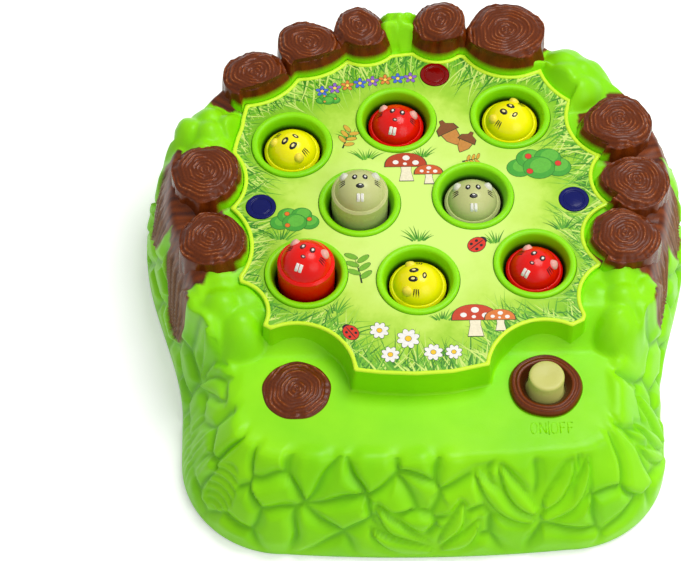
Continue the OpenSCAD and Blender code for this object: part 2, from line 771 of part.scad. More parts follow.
module mechanism_plate() {
  color("ivory") difference() {
    union() {
      slab(plate_z, plate_top) plate_2d(plate_low, plate_high, plate_corner);
      for (m = MOLES) {
        translate([m[1][0], m[1][1], plate_z]) cylinder(r = bush_r + bush_wall, h = plate_t + bush_h);
        translate([pivot_of(m)[0], pivot_of(m)[1], catch_z - pivot_drop])
          cylinder(r = pivot_r, h = plate_z + join - catch_z + pivot_drop);
      }
    }
    for (m = MOLES) {
      translate([m[1][0], m[1][1], plate_z - 1]) cylinder(r = bush_r, h = plate_t + bush_h + 2);
      translate([pivot_of(m)[0], pivot_of(m)[1], catch_z - 1])
        cylinder(r = small_screw_r + pilot_gap, h = catch_screw_len + 1.5);
    }
    for (p = PLATE_POSTS) translate([p[0], p[1], plate_z - 1]) cylinder(r = small_screw_r + pass_gap, h = plate_t + 2);
    for (x = [-1, 1]) translate([motor_at[0] + x * motor_screw_gap / 2, motor_at[1], plate_z - 1])
      cylinder(r = small_screw_r + pass_gap, h = plate_t + 2);
    translate([motor_at[0], motor_at[1], plate_z - 1]) cylinder(r = shaft_r + pass_gap, h = plate_t + 2);
    translate([disc_at[0], disc_at[1], plate_z - 1]) cylinder(r = axle_r, h = plate_t + 2);
  }
}

module plate_screws() {
  color("silver") for (p = PLATE_POSTS) translate([p[0], p[1], plate_z])
    screw_up(small_screw_r, small_head_r, small_head_t, plate_t + plate_screw_len);
}

module mole(i) {
  m = MOLES[i];
  cap_r = (head_r * head_r + head_h * head_h) / (2 * head_h);
  ear_r = 2.6;
  ear_out = 8.2;
  groove_z = catch_z - 0.4;
  groove_top = catch_top + 0.4;
  edge = 1;
  color(m[4]) translate([m[1][0], m[1][1], m[2] * mole_travel]) {
    rotate_extrude() polygon([
      [sleeve_r - sleeve_t, sleeve_bottom], [flange_r, sleeve_bottom], [flange_r, sleeve_bottom + flange_t],
      [sleeve_r, sleeve_bottom + flange_t], [sleeve_r, shoulder_z - edge], [sleeve_r - edge, shoulder_z],
      [0, shoulder_z], [0, ceiling_z], [sleeve_r - sleeve_t, ceiling_z]
    ]);
    rotate_extrude() polygon([
      [0, stem_end], [groove_r, stem_end], [stem_r, stem_end + 1.4], [stem_r, groove_z], [groove_r, groove_z],
      [groove_r, groove_top], [stem_r, groove_top], [stem_r, ceiling_z + join], [0, ceiling_z + join]
    ]);
    intersection() {
      translate([0, 0, shoulder_z + head_h - cap_r]) sphere(r = cap_r);
      translate([0, 0, shoulder_z - join]) cylinder(r = cap_r, h = head_h + 1);
    }
    for (x = [-1, 1]) rotate(m[3]) translate([x * ear_out * 0.9, ear_out * 0.55, shoulder_z + head_h * 0.5])
      sphere(r = ear_r);
  }
}

module mole_spring(i) {
  m = MOLES[i];
  color("silver") translate([m[1][0], m[1][1], 0])
    spring(coil_d / 2, wire_d / 2, plate_top + 0.1, ceiling_z + m[2] * mole_travel - 0.1, coil_turns);
}

module catch(i) {
  m = MOLES[i];
  tail = sqrt(tail_at * tail_at - pow(catch_side - catch_w / 2, 2));
  length = reach(m) + catch_over - tail;
  turn = atan2(ray(m)[1], ray(m)[0]);
  color("ivory") difference() {
    slab(catch_z, catch_top) {
      translate(beside(m, tail, catch_side - catch_w / 2)) rotate(turn) square([length, catch_w]);
      translate(pivot_of(m)) circle(r = catch_hub_r);
    }
    translate([pivot_of(m)[0], pivot_of(m)[1], catch_z - 1]) cylinder(r = pivot_r + run_clear, h = catch_t + 2);
  }
}

module catch_screws() {
  color("silver") for (m = MOLES) translate([pivot_of(m)[0], pivot_of(m)[1], catch_z - pivot_drop])
    screw_up(small_screw_r, pivot_r + 1.2, small_head_t, catch_screw_len);
}

module catch_springs() {
  color("silver") for (m = MOLES) translate([pivot_of(m)[0], pivot_of(m)[1], catch_top + pass_gap])
    tube(pivot_r + 1.3, pivot_r + pass_gap, plate_z - catch_top - 2 * pass_gap);
}

module trip_disc() {
  color("orange") translate([disc_at[0], disc_at[1], 0]) difference() {
    union() {
      slab(gear_z, gear_top) rotate(motor_turn) polygon(gear_points(disc_teeth));
      slab(catch_z, gear_z + join) circle(r = disc_r);
      slab(catch_z, catch_top) translate([0, -nose_w / 2]) square([nose_r - 0.1, nose_w]);
    }
    translate([0, 0, catch_z - 1]) cylinder(r = axle_r + run_clear, h = gear_top - catch_z + 2);
  }
}

module disc_axle() {
  color("silver") translate([disc_at[0], disc_at[1], catch_z - 2]) cylinder(r = axle_r, h = plate_top + 1 - catch_z + 2);
}

module axle_clip() {
  color("silver") translate([disc_at[0], disc_at[1], catch_z - 1.3]) tube(axle_r + 2, axle_r, 1);
}

module drive_pinion() {
  gap_turn = motor_turn + 180 - 180 / pinion_teeth;
  color("white") translate([motor_at[0], motor_at[1], gear_z]) difference() {
    linear_extrude(height = gear_t) rotate(gap_turn) polygon(gear_points(pinion_teeth));
    translate([0, 0, -1]) cylinder(r = shaft_r, h = gear_t + 2);
  }
}

module motor_shaft() {
  color("silver") translate([motor_at[0], motor_at[1], gear_z])
    cylinder(r = shaft_r, h = plate_top + gearbox_size[2] / 2 - gear_z);
}

module gearbox_case() {
  size = gearbox_size;
  color("gray") translate([motor_at[0], motor_at[1], plate_top]) difference() {
    translate([-size[0] / 2, -size[1] / 2, 0]) cube(size);
    translate([0, 0, -1]) cylinder(r = shaft_r + run_clear, h = size[2] / 2 + 1.3);
    for (x = [-1, 1]) translate([x * motor_screw_gap / 2, 0, -1])
      cylinder(r = small_screw_r + pilot_gap, h = motor_screw_len + 2);
  }
}

module motor_can() {
  color("silver") translate([motor_at[0], motor_at[1], plate_top + gearbox_size[2]]) {
    intersection() {
      cylinder(d = motor_d, h = motor_len);
      translate([-motor_d / 2, -motor_d * motor_flats / 2, 0]) cube([motor_d, motor_d * motor_flats, motor_len]);
    }
    translate([0, 0, motor_len - join]) cylinder(r = shaft_d, h = motor_boss + join);
  }
}

module motor_screws() {
  color("silver") for (x = [-1, 1])
    translate([motor_at[0] + x * motor_screw_gap / 2, motor_at[1], plate_z])
      screw_up(small_screw_r, small_head_r, motor_screw_head, plate_t + motor_screw_len);
}

// Electrics

module main_board() {
  color("seagreen") slab(board_z, board_top) difference() {
    plate_2d(board_low, board_high, 4);
    for (p = BOARD_POSTS) translate(p) circle(r = small_screw_r + pass_gap);
  }
}

module board_screws() {
  color("silver") for (p = BOARD_POSTS) translate([p[0], p[1], board_top]) mirror([0, 0, 1])
    screw_up(small_screw_r, small_head_r, small_head_t, board_t + board_gap - 0.5);
}

module hit_switches() {
  color("black") for (m = MOLES) translate([m[1][0], m[1][1], board_top]) {
    translate([-tact_size / 2, -tact_size / 2, 0]) cube([tact_size, tact_size, tact_body]);
    cylinder(r = 1.7, h = tact_h);
  }
}

module speaker_frame() {
  magnet_r = speaker_r * 0.55;
  inner_r = speaker_r - speaker_rim;
  color("gray") translate([speaker_at[0], speaker_at[1], cover_top]) rotate_extrude() polygon([
    [0, speaker_h], [0, speaker_h * 0.6], [magnet_r * 0.5, speaker_h * 0.55], [inner_r, 2], [inner_r, 0],
    [speaker_r, 0], [speaker_r, speaker_rim], [magnet_r, speaker_h * 0.65], [magnet_r, speaker_h]
  ]);
}

module speaker_cone() {
  t = 0.4;
  low = 0.6;
  rim_r = speaker_r - speaker_rim;
  cone_r = rim_r - speaker_surround;
  cap_r = speaker_r * 0.25;
  cap_z = speaker_h * 0.4;
  color("black") translate([speaker_at[0], speaker_at[1], cover_top]) rotate_extrude() polygon([
    [0, cap_z], [cap_r, cap_z], [cone_r, low], [rim_r, low],
    [rim_r, low + t], [cone_r, low + t], [cap_r, cap_z + t], [0, cap_z + t]
  ]);
}

// Place of a cell and the way its nub points
function cell_y(k) = bay_at[1] + (k - (cell_count - 1) / 2) * cell_pitch;
function cell_way(k) = k % 2 == 0 ? 1 : -1;
cell_start = contact_t + contact_spring - bay_in[0] / 2 + 0.2;

module battery_cells() {
  color("darkorange") for (k = [0 : cell_count - 1])
    translate([bay_at[0], cell_y(k), cell_z]) mirror([cell_way(k) < 0 ? 1 : 0, 0, 0])
      translate([cell_start, 0, 0]) rotate([0, 90, 0]) {
        cylinder(d = cell_d, h = cell_len);
        cylinder(d = cell_nub_d, h = cell_len + cell_nub);
      }
}

module battery_contacts() {
  size = 9;
  color("silver") for (k = [0 : cell_count - 1])
    translate([bay_at[0], cell_y(k), cell_z]) mirror([cell_way(k) < 0 ? 1 : 0, 0, 0]) {
      translate([-bay_in[0] / 2, -size / 2, -size / 2]) cube([contact_t, size, size]);
      translate([bay_in[0] / 2 - contact_t, -size / 2, -size / 2]) cube([contact_t, size, size]);
      translate([contact_t - bay_in[0] / 2, 0, 0]) rotate([0, 90, 0]) tube(3.4, 2.6, contact_spring);
    }
}

module battery_door() {
  grip = [20, 1, 0.6];
  grip_pitch = 3;
  color("dimgray") difference() {
    slab(rim_z, bay_floor) translate(bay_at - door_size / 2) square(door_size);
    for (x = [-door_screw_at, door_screw_at]) translate([bay_at[0] + x, bay_at[1], rim_z - 1]) {
      cylinder(r = screw_r + pilot_gap, h = door_t + 2);
      cylinder(r = screw_head_r + 0.2, h = screw_head_t - 0.1 + 1);
    }
    for (k = [-3 : 3])
      translate([bay_at[0] - grip[0] / 2, bay_at[1] + k * grip_pitch - grip[1] / 2, rim_z - 1])
        cube(grip + [0, 0, 1]);
  }
}

module door_screws() {
  color("silver") for (x = [-door_screw_at, door_screw_at])
    translate([bay_at[0] + x, bay_at[1], rim_z + screw_head_t - 0.1])
      screw_up(screw_r, screw_head_r, screw_head_t - 0.2, door_screw_len);
}

module switch_board() {
  size = switch_board_size;
  color("seagreen") slab(switch_board_z, switch_board_top) difference() {
    translate(button_at - size / 2) square(size);
    for (x = [-switch_post, switch_post]) translate(button_at + [x, 0]) circle(r = small_screw_r + pass_gap);
  }
}

module switch_screws() {
  color("silver") for (x = [-switch_post, switch_post])
    translate([button_at[0] + x, button_at[1], switch_board_z])
      screw_up(small_screw_r, small_head_r, small_head_t, board_t + switch_screw_len);
}

module power_switch() {
  color("black") translate([button_at[0], button_at[1], switch_board_top]) difference() {
    translate([-switch_size / 2, -switch_size / 2, 0]) cube([switch_size, switch_size, switch_h]);
    translate([0, 0, 1]) cylinder(r = plunger_r + run_clear, h = switch_h);
  }
}

module switch_plunger() {
  color("white") translate([button_at[0], button_at[1], plunger_low])
    cylinder(r = plunger_r, h = plunger_top - plunger_low);
}

module button_spring() {
  color("silver") translate([button_at[0], button_at[1], 0])
    spring(switch_size * 0.85, 0.4, switch_board_top + 0.1, flange_top - button_flange_t - 0.1, 6);
}

module power_button() {
  edge = 0.8;
  color("darkkhaki") translate([button_at[0], button_at[1], 0]) rotate_extrude() polygon([
    [0, plunger_top], [plunger_r + 1, plunger_top], [plunger_r + 1, flange_top - button_flange_t],
    [button_flange_r, flange_top - button_flange_t], [button_flange_r, flange_top], [button_r, flange_top],
    [button_r, button_top - edge], [button_r - edge, button_top], [0, button_top]
  ]);
}

top_shell();
bottom_cover();
feet();
casing_screws();
playfield_print();
red_lens();
blue_lens_left();
blue_lens_right();
indicator_leds();
mechanism_plate();
plate_screws();
main_board();
board_screws();
hit_switches();
speaker_frame();
speaker_cone();
battery_cells();
battery_contacts();
battery_door();
door_screws();
gearbox_case();
motor_can();
motor_screws();
motor_shaft();
drive_pinion();
trip_disc();
disc_axle();
axle_clip();
catch_screws();
catch_springs();
switch_board();
power_switch();
switch_screws();
switch_plunger();
button_spring();
power_button();
for (i = [0 : len(MOLES) - 1]) {
  mole(i);
  mole_spring(i);
  catch(i);
}
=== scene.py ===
"""Looks of a table-top whack-a-mole toy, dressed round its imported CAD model.

Lengths are millimetres in the CAD frame (+Z up, the front faces -Y), turned into metres when a mesh is made.
"""

import json
import math
import bpy
import numpy as np
from numpy.linalg import norm
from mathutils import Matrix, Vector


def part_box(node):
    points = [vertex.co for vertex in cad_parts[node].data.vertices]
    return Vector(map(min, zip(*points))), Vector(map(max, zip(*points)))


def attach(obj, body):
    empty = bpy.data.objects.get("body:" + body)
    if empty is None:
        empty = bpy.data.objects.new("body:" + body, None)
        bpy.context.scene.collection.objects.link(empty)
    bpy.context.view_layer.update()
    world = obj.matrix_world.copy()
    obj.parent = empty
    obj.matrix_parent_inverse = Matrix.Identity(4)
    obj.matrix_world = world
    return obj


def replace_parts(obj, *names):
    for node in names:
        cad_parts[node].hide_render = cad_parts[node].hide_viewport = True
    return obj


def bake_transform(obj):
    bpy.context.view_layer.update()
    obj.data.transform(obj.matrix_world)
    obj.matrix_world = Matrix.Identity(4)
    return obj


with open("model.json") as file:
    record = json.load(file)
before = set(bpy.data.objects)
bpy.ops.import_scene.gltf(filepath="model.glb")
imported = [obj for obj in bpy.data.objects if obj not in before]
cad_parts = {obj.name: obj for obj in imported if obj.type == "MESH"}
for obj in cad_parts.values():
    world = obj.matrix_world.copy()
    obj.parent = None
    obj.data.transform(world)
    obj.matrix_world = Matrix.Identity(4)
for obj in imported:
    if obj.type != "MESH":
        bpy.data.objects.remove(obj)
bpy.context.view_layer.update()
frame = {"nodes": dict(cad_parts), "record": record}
MM = 0.001


def box_mm(node):
    low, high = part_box(node)
    return np.array(low) / MM, np.array(high) / MM


# Sizes that the frame gives
shell_low, shell_high = box_mm("top_shell")
half_w = shell_high[0]
half_d = shell_high[1]
rim_z = shell_low[2]
field_z = box_mm("playfield_print")[1][2]
MOLES = [n[5:] for n in frame["nodes"] if n.startswith("mole_") and not n.startswith("mole_spring_")]
MOLES.sort()

# Sizes shared with the part's source
front_half = 121.5
front_corner = 52
front_bow = 3
waist_y = -68
lobe_y = 33
right_lobe_power = 0.92
left_lobe_power = 1
skirt_power = 1.6
front_run = 27
rear_run = 10
run_change = (waist_y - 8, waist_y + 28)
ledge_z = 52
bank_z = field_z - 1.5
bead_z = field_z + 0.8
bead_w = 2
wall = 2.4
hole_r = 15
ring_r = 20.75
ring_z = field_z + 1.5
mouth_r = 17.7
funnel_z = field_z - 6.5
cup_z = 46.8
head_r = 12.6
head_h = 9.4
ear_at = (7.38, 4.51)
ear_r = 2.6
lens_r = 7.5
lens_flange_r = 9
deck_under = field_z - 2.7

badge_at = np.array([-63, -81])
button_at = np.array([59, -81])
badge_r = 17
bezel_r = 18
button_hole_r = 9.5
slice_h = 4
badge_h = 2.4

# Stumps: place, radius and height of the top, then where the bark runs out on the outer wall, as a shift along the
# outline (anticlockwise) and a height
STUMPS = [
    ((-108, 34), 17, 80, 12, 30),
    ((-104.5, -6), 16, 79, 18, 22),
    ((-82.5, 95), 16, 81, 8, 36),
    ((-55, 113.5), 16, 82, 3, 30),
    ((-28, 123.5), 13.5, 83, 2, 38),
    ((14.5, 125.5), 13.8, 84, -2, 34),
    ((48.5, 119), 20, 83, -4, 28),
    ((103.5, 62), 17, 80, -8, 36),
    ((110, 25), 16.5, 79, -12, 32),
    ((102, -8), 16.5, 79, -17, 31),
]

# Rocks on the bank: place, radius and height of the top
ROCKS = [
    ((-99.5, -38), 17, 71),
    ((99, -37), 16.5, 71),
    ((-106.5, 63), 14, 77),
    ((79.5, 96), 16.5, 78),
    ((-7, 129), 9, 84),
]

# Scallops of the field's edge and the corners of the field before they are cut
SCALLOPS = [
    ((-117, -6), 31.5),
    ((-114, 35), 25.5),
    ((-127, 76), 37),
    ((-89, 114.5), 31.5),
    ((-59, 131), 31),
    ((-25, 126), 17.4),
    ((13, 126.5), 16.5),
    ((51, 126.5), 27),
    ((99, 111), 33),
    ((104.5, 71), 25.5),
    ((109.5, 33), 20.5),
    ((102, -3), 19.7),
    ((100, -40), 22),
    ((-95, -45), 17.6),
    (tuple(badge_at), 28),
    (tuple(button_at), 28),
]
FIELD = [
    (79, -53), (90, -18.5), (97.5, 16), (95, 47.5), (82, 83), (66.5, 106), (25, 114), (1, 116), (-12, 114.5),
    (-34.5, 111.5), (-60.5, 100), (-88, 83), (-94.5, 54), (-96.5, 16.5), (-90.5, -28), (-79.5, -53),
    (-39, -79.5), (-22, -82), (-5, -83), (13, -82), (31, -78),
]
field_centre = np.array([0.0, 12.0])


# Numbers and curves

def smooth(t):
    t = np.clip(t, 0, 1)
    return t * t * (3 - 2 * t)


def smooth_min(a, b, k):
    h = np.clip(0.5 + 0.5 * (b - a) / k, 0, 1)
    return b + (a - b) * h - k * h * (1 - h)


def smooth_max(a, b, k):
    return -smooth_min(-a, -b, k)


def hash_noise(i, seed):
    """A repeatable number from 0 to 1 for each whole number."""
    v = np.sin(np.asarray(i, float) * 127.1 + seed * 311.7) * 43758.5453
    return v - np.floor(v)


def waves(x, seed):
    """A smooth irregular curve round zero, made of four sines."""
    total = 0
    for k in range(4):
        rate = 1.7 ** k * (0.8 + 0.4 * hash_noise(k, seed))
        total = total + np.sin(x * rate + 6.28 * hash_noise(k, seed + 1)) / (1 + 0.7 * k)
    return total / 1.8


def circle(count):
    """Evenly spaced angles once round."""
    return np.linspace(0, 2 * np.pi, count, endpoint=False)


def ways(angles):
    """Flat unit vectors at these angles."""
    return np.stack([np.cos(angles), np.sin(angles)], -1)


def raised(flat, z):
    """Flat points at one height, or at a height each."""
    return np.column_stack([flat, np.broadcast_to(z, len(flat))])


def ring_at(at, radius, angles, z):
    """Points of a ring round a place; radius and height may differ round it."""
    return raised(np.add(at, ways(angles) * np.reshape(radius, (-1, 1))), z)


def placed(points, at, turn=0, size=1):
    """Flat points sized, turned and moved to a place."""
    x, y = size * np.asarray(points, float).T
    c, s = math.cos(turn), math.sin(turn)
    return np.column_stack([at[0] + c * x - s * y, at[1] + s * x + c * y])


def resample(points, count):
    """A closed curve as evenly spaced points."""
    loop = np.vstack([points, points[:1]])
    run = np.concatenate([[0], np.cumsum(norm(np.diff(loop, axis=0), axis=1))])
    at = np.linspace(0, run[-1], count, endpoint=False)
    return np.column_stack([np.interp(at, run, loop[:, k]) for k in (0, 1)])


def left_of(way):
    """Flat vectors turned a quarter to the left."""
    return way[..., ::-1] * [-1, 1]


def normals_of(loop):
    """Outward normals of a closed anticlockwise curve."""
    d = np.roll(loop, -1, axis=0) - np.roll(loop, 1, axis=0)
    return -left_of(d / norm(d, axis=1)[:, None])


def half_outline(lobe_power):
    """One half of the casing's outline, from the front to the back."""
    corner_x = front_half - front_corner
    corner_y = front_bow - half_d + front_corner
    x = np.linspace(0, corner_x, 60, endpoint=False)
    front = np.column_stack([x, front_bow * (x / corner_x) ** 2 - half_d])
    arc = ways(np.radians(np.linspace(-90, 0, 60, endpoint=False)))
    corner = (corner_x, corner_y) + front_corner * arc
    y = np.linspace(corner_y, lobe_y, 120, endpoint=False)
    side = np.column_stack([front_half + (half_w - front_half) * smooth((y - waist_y) / (lobe_y - waist_y)), y])
    arc = ways(np.radians(np.linspace(0, 90, 240)))
    lobe = (0, lobe_y) + (half_w, half_d - lobe_y) * arc ** lobe_power
    return np.vstack([front, corner, side, lobe])


def casing_outline(count):
    """The outline round the casing's foot, no wider than the moulding's own box."""
    right = half_outline(right_lobe_power)
    left = half_outline(left_lobe_power)[-2:0:-1] * [-1, 1]
    return resample(np.clip(np.vstack([right, left]), shell_low[:2], shell_high[:2]), count)


def run_at(y):
    """How far the skirt leans in between its foot and its top."""
    return front_run + (rear_run - front_run) * smooth((y - run_change[0]) / (run_change[1] - run_change[0]))


def field_reach(angles, d):
    """Distance from the field's centre to its edge, moved inwards by d, at each angle."""
    way = ways(angles)
    reach = np.full(len(angles), 1e9)
    for p, q in zip(FIELD, FIELD[1:] + FIELD[:1]):
        along = np.subtract(q, p) / norm(np.subtract(q, p))
        inward = left_of(along)
        facing = way @ inward
        room = (np.add(p, inward * d) - field_centre) @ inward
        reach = np.where(facing < -1e-9, np.minimum(reach, room / np.minimum(facing, -1e-9)), reach)
    for centre, radius in SCALLOPS:
        to = np.subtract(centre, field_centre)
        b = way @ to
        c = to @ to - (radius + d) ** 2
        inside = b * b - c
        hit = b - np.sqrt(np.maximum(inside, 0))
        reach = np.where((inside > 0) & (hit > 0), np.minimum(reach, hit), reach)
    return reach


def field_edge(angles, d):
    return field_centre + field_reach(angles, d)[:, None] * ways(angles)


def field_gap(x, y):
    """Distance outwards from the field's edge."""
    dx, dy = x - field_centre[0], y - field_centre[1]
    return np.hypot(dx, dy) - field_reach(np.arctan2(dy, dx), 0)


# Meshes

def grid_faces(rows, count, first=0, closed=True):
    """Quads between rows of points; each row is a ring when closed."""
    r, c = np.meshgrid(np.arange(rows - 1), np.arange(count if closed else count - 1), indexing="ij")
    n = (c + 1) % count
    quads = np.stack([r * count + c, r * count + n, (r + 1) * count + n, (r + 1) * count + c], -1)
    return first + quads.reshape(-1, 4)


def mesh_object(name, verts, faces, material):
    mesh = bpy.data.meshes.new(name)
    mesh.from_pydata((np.asarray(verts) * MM).tolist(), [], [list(map(int, f)) for f in faces])
    mesh.materials.append(material)
    mesh.polygons.foreach_set("use_smooth", [True] * len(mesh.polygons))
    mesh.update()
    obj = bpy.data.objects.new(name, mesh)
    bpy.context.scene.collection.objects.link(obj)
    return obj


def piece(name, verts, faces, material, body, slot, attributes=None, tint=None):
    """A piece of the toy that rides a body, with values or a colour per point for its material to read."""
    obj = mesh_object(name, verts, faces, material)
    for key, values in (attributes or {}).items():
        layer = obj.data.attributes.new(key, "FLOAT", "POINT")
        layer.data.foreach_set("value", np.full(len(verts), values, np.float32))
    if tint is not None:
        layer = obj.data.attributes.new("tint", "FLOAT_COLOR", "POINT")
        layer.data.foreach_set("color", np.asarray(tint, np.float32).ravel())
    if body:
        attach(obj, body)
    return obj


def lathe(profile, at, steps, shape=1):
    """Rings of (radius, height) points turned about an upright axis, closed where the profile meets the axis."""
    a = circle(steps)
    points = np.vstack([ring_at(at, r * shape, a, z) for r, z in profile if r > 0])
    faces = grid_faces(len(points) // steps, steps).tolist()
    for end, first, way in ((profile[0], 0, -1), (profile[-1], len(points) - steps, 1)):
        if end[0] == 0:
            points = np.vstack([points, [[at[0], at[1], end[1]]]])
            faces += [(first + k, first + (k + 1) % steps, len(points) - 1)[::way] for k in range(steps)]
    return points, faces


def rounded(points, radius, steps=4):
    """An open profile with its inner corners rounded."""
    points = [np.array(p, float) for p in points]
    out = [points[0]]
    for a, b, c in zip(points, points[1:], points[2:]):
        u, v = a - b, c - b
        cut = min(radius, 0.45 * norm(u), 0.45 * norm(v))
        p, q = b + u / norm(u) * cut, b + v / norm(v) * cut
        for k in range(steps + 1):
            t = k / steps
            out.append((1 - t) ** 2 * p + 2 * t * (1 - t) * b + t * t * q)
    out.append(points[-1])
    return out


# Materials

def srgb(r, g, b):
    def linear(v):
        v /= 255
        return v / 12.92 if v <= 0.04045 else ((v + 0.055) / 1.055) ** 2.4
    return (linear(r), linear(g), linear(b), 1)


def toned(colour, share):
    return tuple(min(1, c * share) for c in colour[:3]) + (1,)


class Nodes:
    """A node tree and short ways to add to it."""

    def __init__(self, tree):
        self.tree = tree
        tree.nodes.clear()

    def add(self, kind, props=None, **inputs):
        node = self.tree.nodes.new(kind)
        for key, value in (props or {}).items():
            setattr(node, key, value)
        for key, value in inputs.items():
            socket = node.inputs[int(key[1:])] if key[0] == "_" else node.inputs[key.replace("_", " ")]
            if isinstance(value, bpy.types.NodeSocket):
                self.tree.links.new(value, socket)
            else:
                socket.default_value = value
        return node

    def maths(self, operation, a, b):
        return self.add("ShaderNodeMath", {"operation": operation}, _0=a, _1=b).outputs[0]

    def shown(self):
        """1 for rays that show a surface: from the camera, or after a glossy or clear bounce."""
        path = self.add("ShaderNodeLightPath").outputs
        bounced = self.maths("MAXIMUM", path["Is Glossy Ray"], path["Is Transmission Ray"])
        return self.maths("MAXIMUM", path["Is Camera Ray"], bounced)


class Look(Nodes):
    """A Principled material; noise scales are per metre."""

    def __init__(self, name, **sockets):
        self.material = bpy.data.materials.new(name)
        self.material.use_nodes = True
        super().__init__(self.material.node_tree)
        self.shader = self.add("ShaderNodeBsdfPrincipled", **sockets)
        self.add("ShaderNodeOutputMaterial", Surface=self.shader.outputs[0])
        self.place = self.add("ShaderNodeTexCoord").outputs["Object"]

    def set(self, socket, value):
        self.tree.links.new(value, self.shader.inputs[socket])

    def noise(self, scale, detail=3, roughness=0.5, stretch=None):
        at = self.place
        if stretch:
            at = self.add("ShaderNodeVectorMath", {"operation": "MULTIPLY"}, _0=at, _1=stretch).outputs[0]
        node = self.add("ShaderNodeTexNoise", Vector=at, Scale=scale, Detail=detail, Roughness=roughness)
        return node.outputs["Fac"]

    def stray(self, amount, *noise):
        """Noise round zero."""
        return self.maths("MULTIPLY", self.maths("SUBTRACT", self.noise(*noise), 0.5), amount)

    def ramp(self, value, low, high, to_low=0.0, to_high=1.0):
        node = self.add("ShaderNodeMapRange", {"clamp": True}, Value=value, From_Min=low, From_Max=high,
                        To_Min=to_low, To_Max=to_high)
        return node.outputs[0]

    def mix(self, share, a, b, blend="MIX"):
        node = self.add("ShaderNodeMix", {"data_type": "RGBA", "blend_type": blend}, _0=share, _6=a, _7=b)
        return node.outputs[2]

    def attribute(self, name, output="Fac"):
        return self.add("ShaderNodeAttribute", {"attribute_name": name}).outputs[output]

    def gloss(self, scale, low, high):
        """Roughness that wanders between two values."""
        self.set("Roughness", self.ramp(self.noise(scale), 0.3, 0.7, low, high))

    def bump(self, height, distance):
        self.set("Normal", self.add("ShaderNodeBump", Height=height, Distance=distance, Strength=1.0).outputs[0])


def plastic(name, colour, roughness=0.3, vary=0.06, grain=0.00003, specular=0.25, grain_scale=900):
    """Moulded plastic: slow shade changes, a little uneven gloss and a fine moulded grain."""
    look = Look(name, Specular_IOR_Level=specular)
    slow = look.ramp(look.noise(35, 4), 0.35, 0.65)
    look.set("Base Color", look.mix(slow, toned(colour, 1 - vary), toned(colour, 1 + vary)))
    look.gloss(140, roughness - 0.05, roughness + 0.07)
    look.bump(look.noise(grain_scale), grain)
    return look.material


def metal(name, colour, roughness=0.3, brushed=(1, 1, 1)):
    look = Look(name, Metallic=1.0)
    streaks = look.noise(300, 4, 0.6, brushed)
    look.set("Base Color", look.mix(look.ramp(streaks, 0.3, 0.7), toned(colour, 0.8), colour))
    look.set("Roughness", look.ramp(streaks, 0.3, 0.7, roughness - 0.08, roughness + 0.1))
    look.bump(streaks, 0.00002)
    return look.material


LIME = srgb(152, 236, 10)
LIME_DEEP = srgb(136, 225, 6)
# Painted shade colours: the first for creases and funnels, the second for the deepest part of the funnels
LIME_SHADE = srgb(84, 168, 2)
LIME_DEEPEST_SHADE = srgb(26, 62, 2)
# Bark tones; the dark ones are also painted shade in the grooves, ring valleys and the bezel's mouth, and the
# light one is a painted highlight on the ring crests
BARK = srgb(132, 60, 12)
BARK_DARK_TONE_AND_SHADE = srgb(70, 24, 4)
BARK_PAINTED_HIGHLIGHT = srgb(222, 160, 112)
BARK_GREY = srgb(148, 100, 48)
BARK_GREY_DARK_TONE_AND_SHADE = srgb(80, 46, 18)


def casing_look(name, specular, roughness, painted_crest_highlight):
    """Lime plastic with bark sprayed on where the paint attribute says. Painted shade darkens the green in creases
    and down the hole funnels; the bark is painted darker in its grooves and ring valleys and lighter on its
    ridges, with painted highlights on the ring crests.
    """
    look = Look(name, Specular_IOR_Level=specular)
    slow = look.ramp(look.noise(28, 4), 0.35, 0.65)
    green = look.mix(slow, LIME_DEEP, LIME)
    # Painted shade: the green is darkened in the skirt's creases and down the hole funnels, darkest at their
    # bottom
    green = look.mix(look.attribute("painted_shade"), green, LIME_SHADE)
    green = look.mix(look.ramp(look.attribute("painted_shade"), 0.7, 1.0), green, LIME_DEEPEST_SHADE)
    # The bark's tone follows its relief: painted darker in grooves and ring valleys and lighter on ridges, with a
    # noise grain of fibres over it
    grain_light_and_shade = look.maths("ADD", look.attribute("grain_light_and_shade"), look.stray(0.9, 1300, 4, 0.65, (1, 1, 0.15)))
    bark = look.mix(look.ramp(grain_light_and_shade, 0.0, 1.0), BARK_DARK_TONE_AND_SHADE, BARK)
    # Painted highlight: light brown on the crests of the rings
    bark = look.mix(look.ramp(grain_light_and_shade, 0.98, 1.3, 0.0, painted_crest_highlight), bark, BARK_PAINTED_HIGHLIGHT)
    grey = look.mix(look.ramp(grain_light_and_shade, 0.0, 1.0), BARK_GREY_DARK_TONE_AND_SHADE, BARK_GREY)
    bark = look.mix(look.attribute("weathered"), bark, grey)
    cover = look.ramp(look.maths("ADD", look.attribute("paint"), look.stray(0.5, 1800, 4, 0.7)), 0.12, 0.8)
    look.set("Base Color", look.mix(cover, green, bark))
    look.gloss(160, roughness - 0.05, roughness + 0.07)
    look.bump(look.noise(1100), 0.00004)
    return look.material


def painted(name, roughness):
    """Ink or paint whose colours are given point by point, a little uneven."""
    look = Look(name, Specular_IOR_Level=0.25)
    uneven = look.ramp(look.noise(900), 0.3, 0.7)
    look.set("Base Color", look.mix(uneven, look.attribute("tint", "Color"), (0.86, 0.86, 0.86, 1), "MULTIPLY"))
    look.gloss(200, roughness - 0.05, roughness + 0.05)
    return look.material


# The casing gets no crest highlight; the log ends get a painted highlight on their ring crests
casing_material = casing_look("casing", specular=0.2, roughness=0.35, painted_crest_highlight=0.0)
log_material = casing_look("log_ends", specular=0.16, roughness=0.22, painted_crest_highlight=0.8)
bead_material = plastic("bead", srgb(214, 254, 50), 0.3)


# Casing: one skin from the foot of the skirt over the ledge and the bank to the field's edge

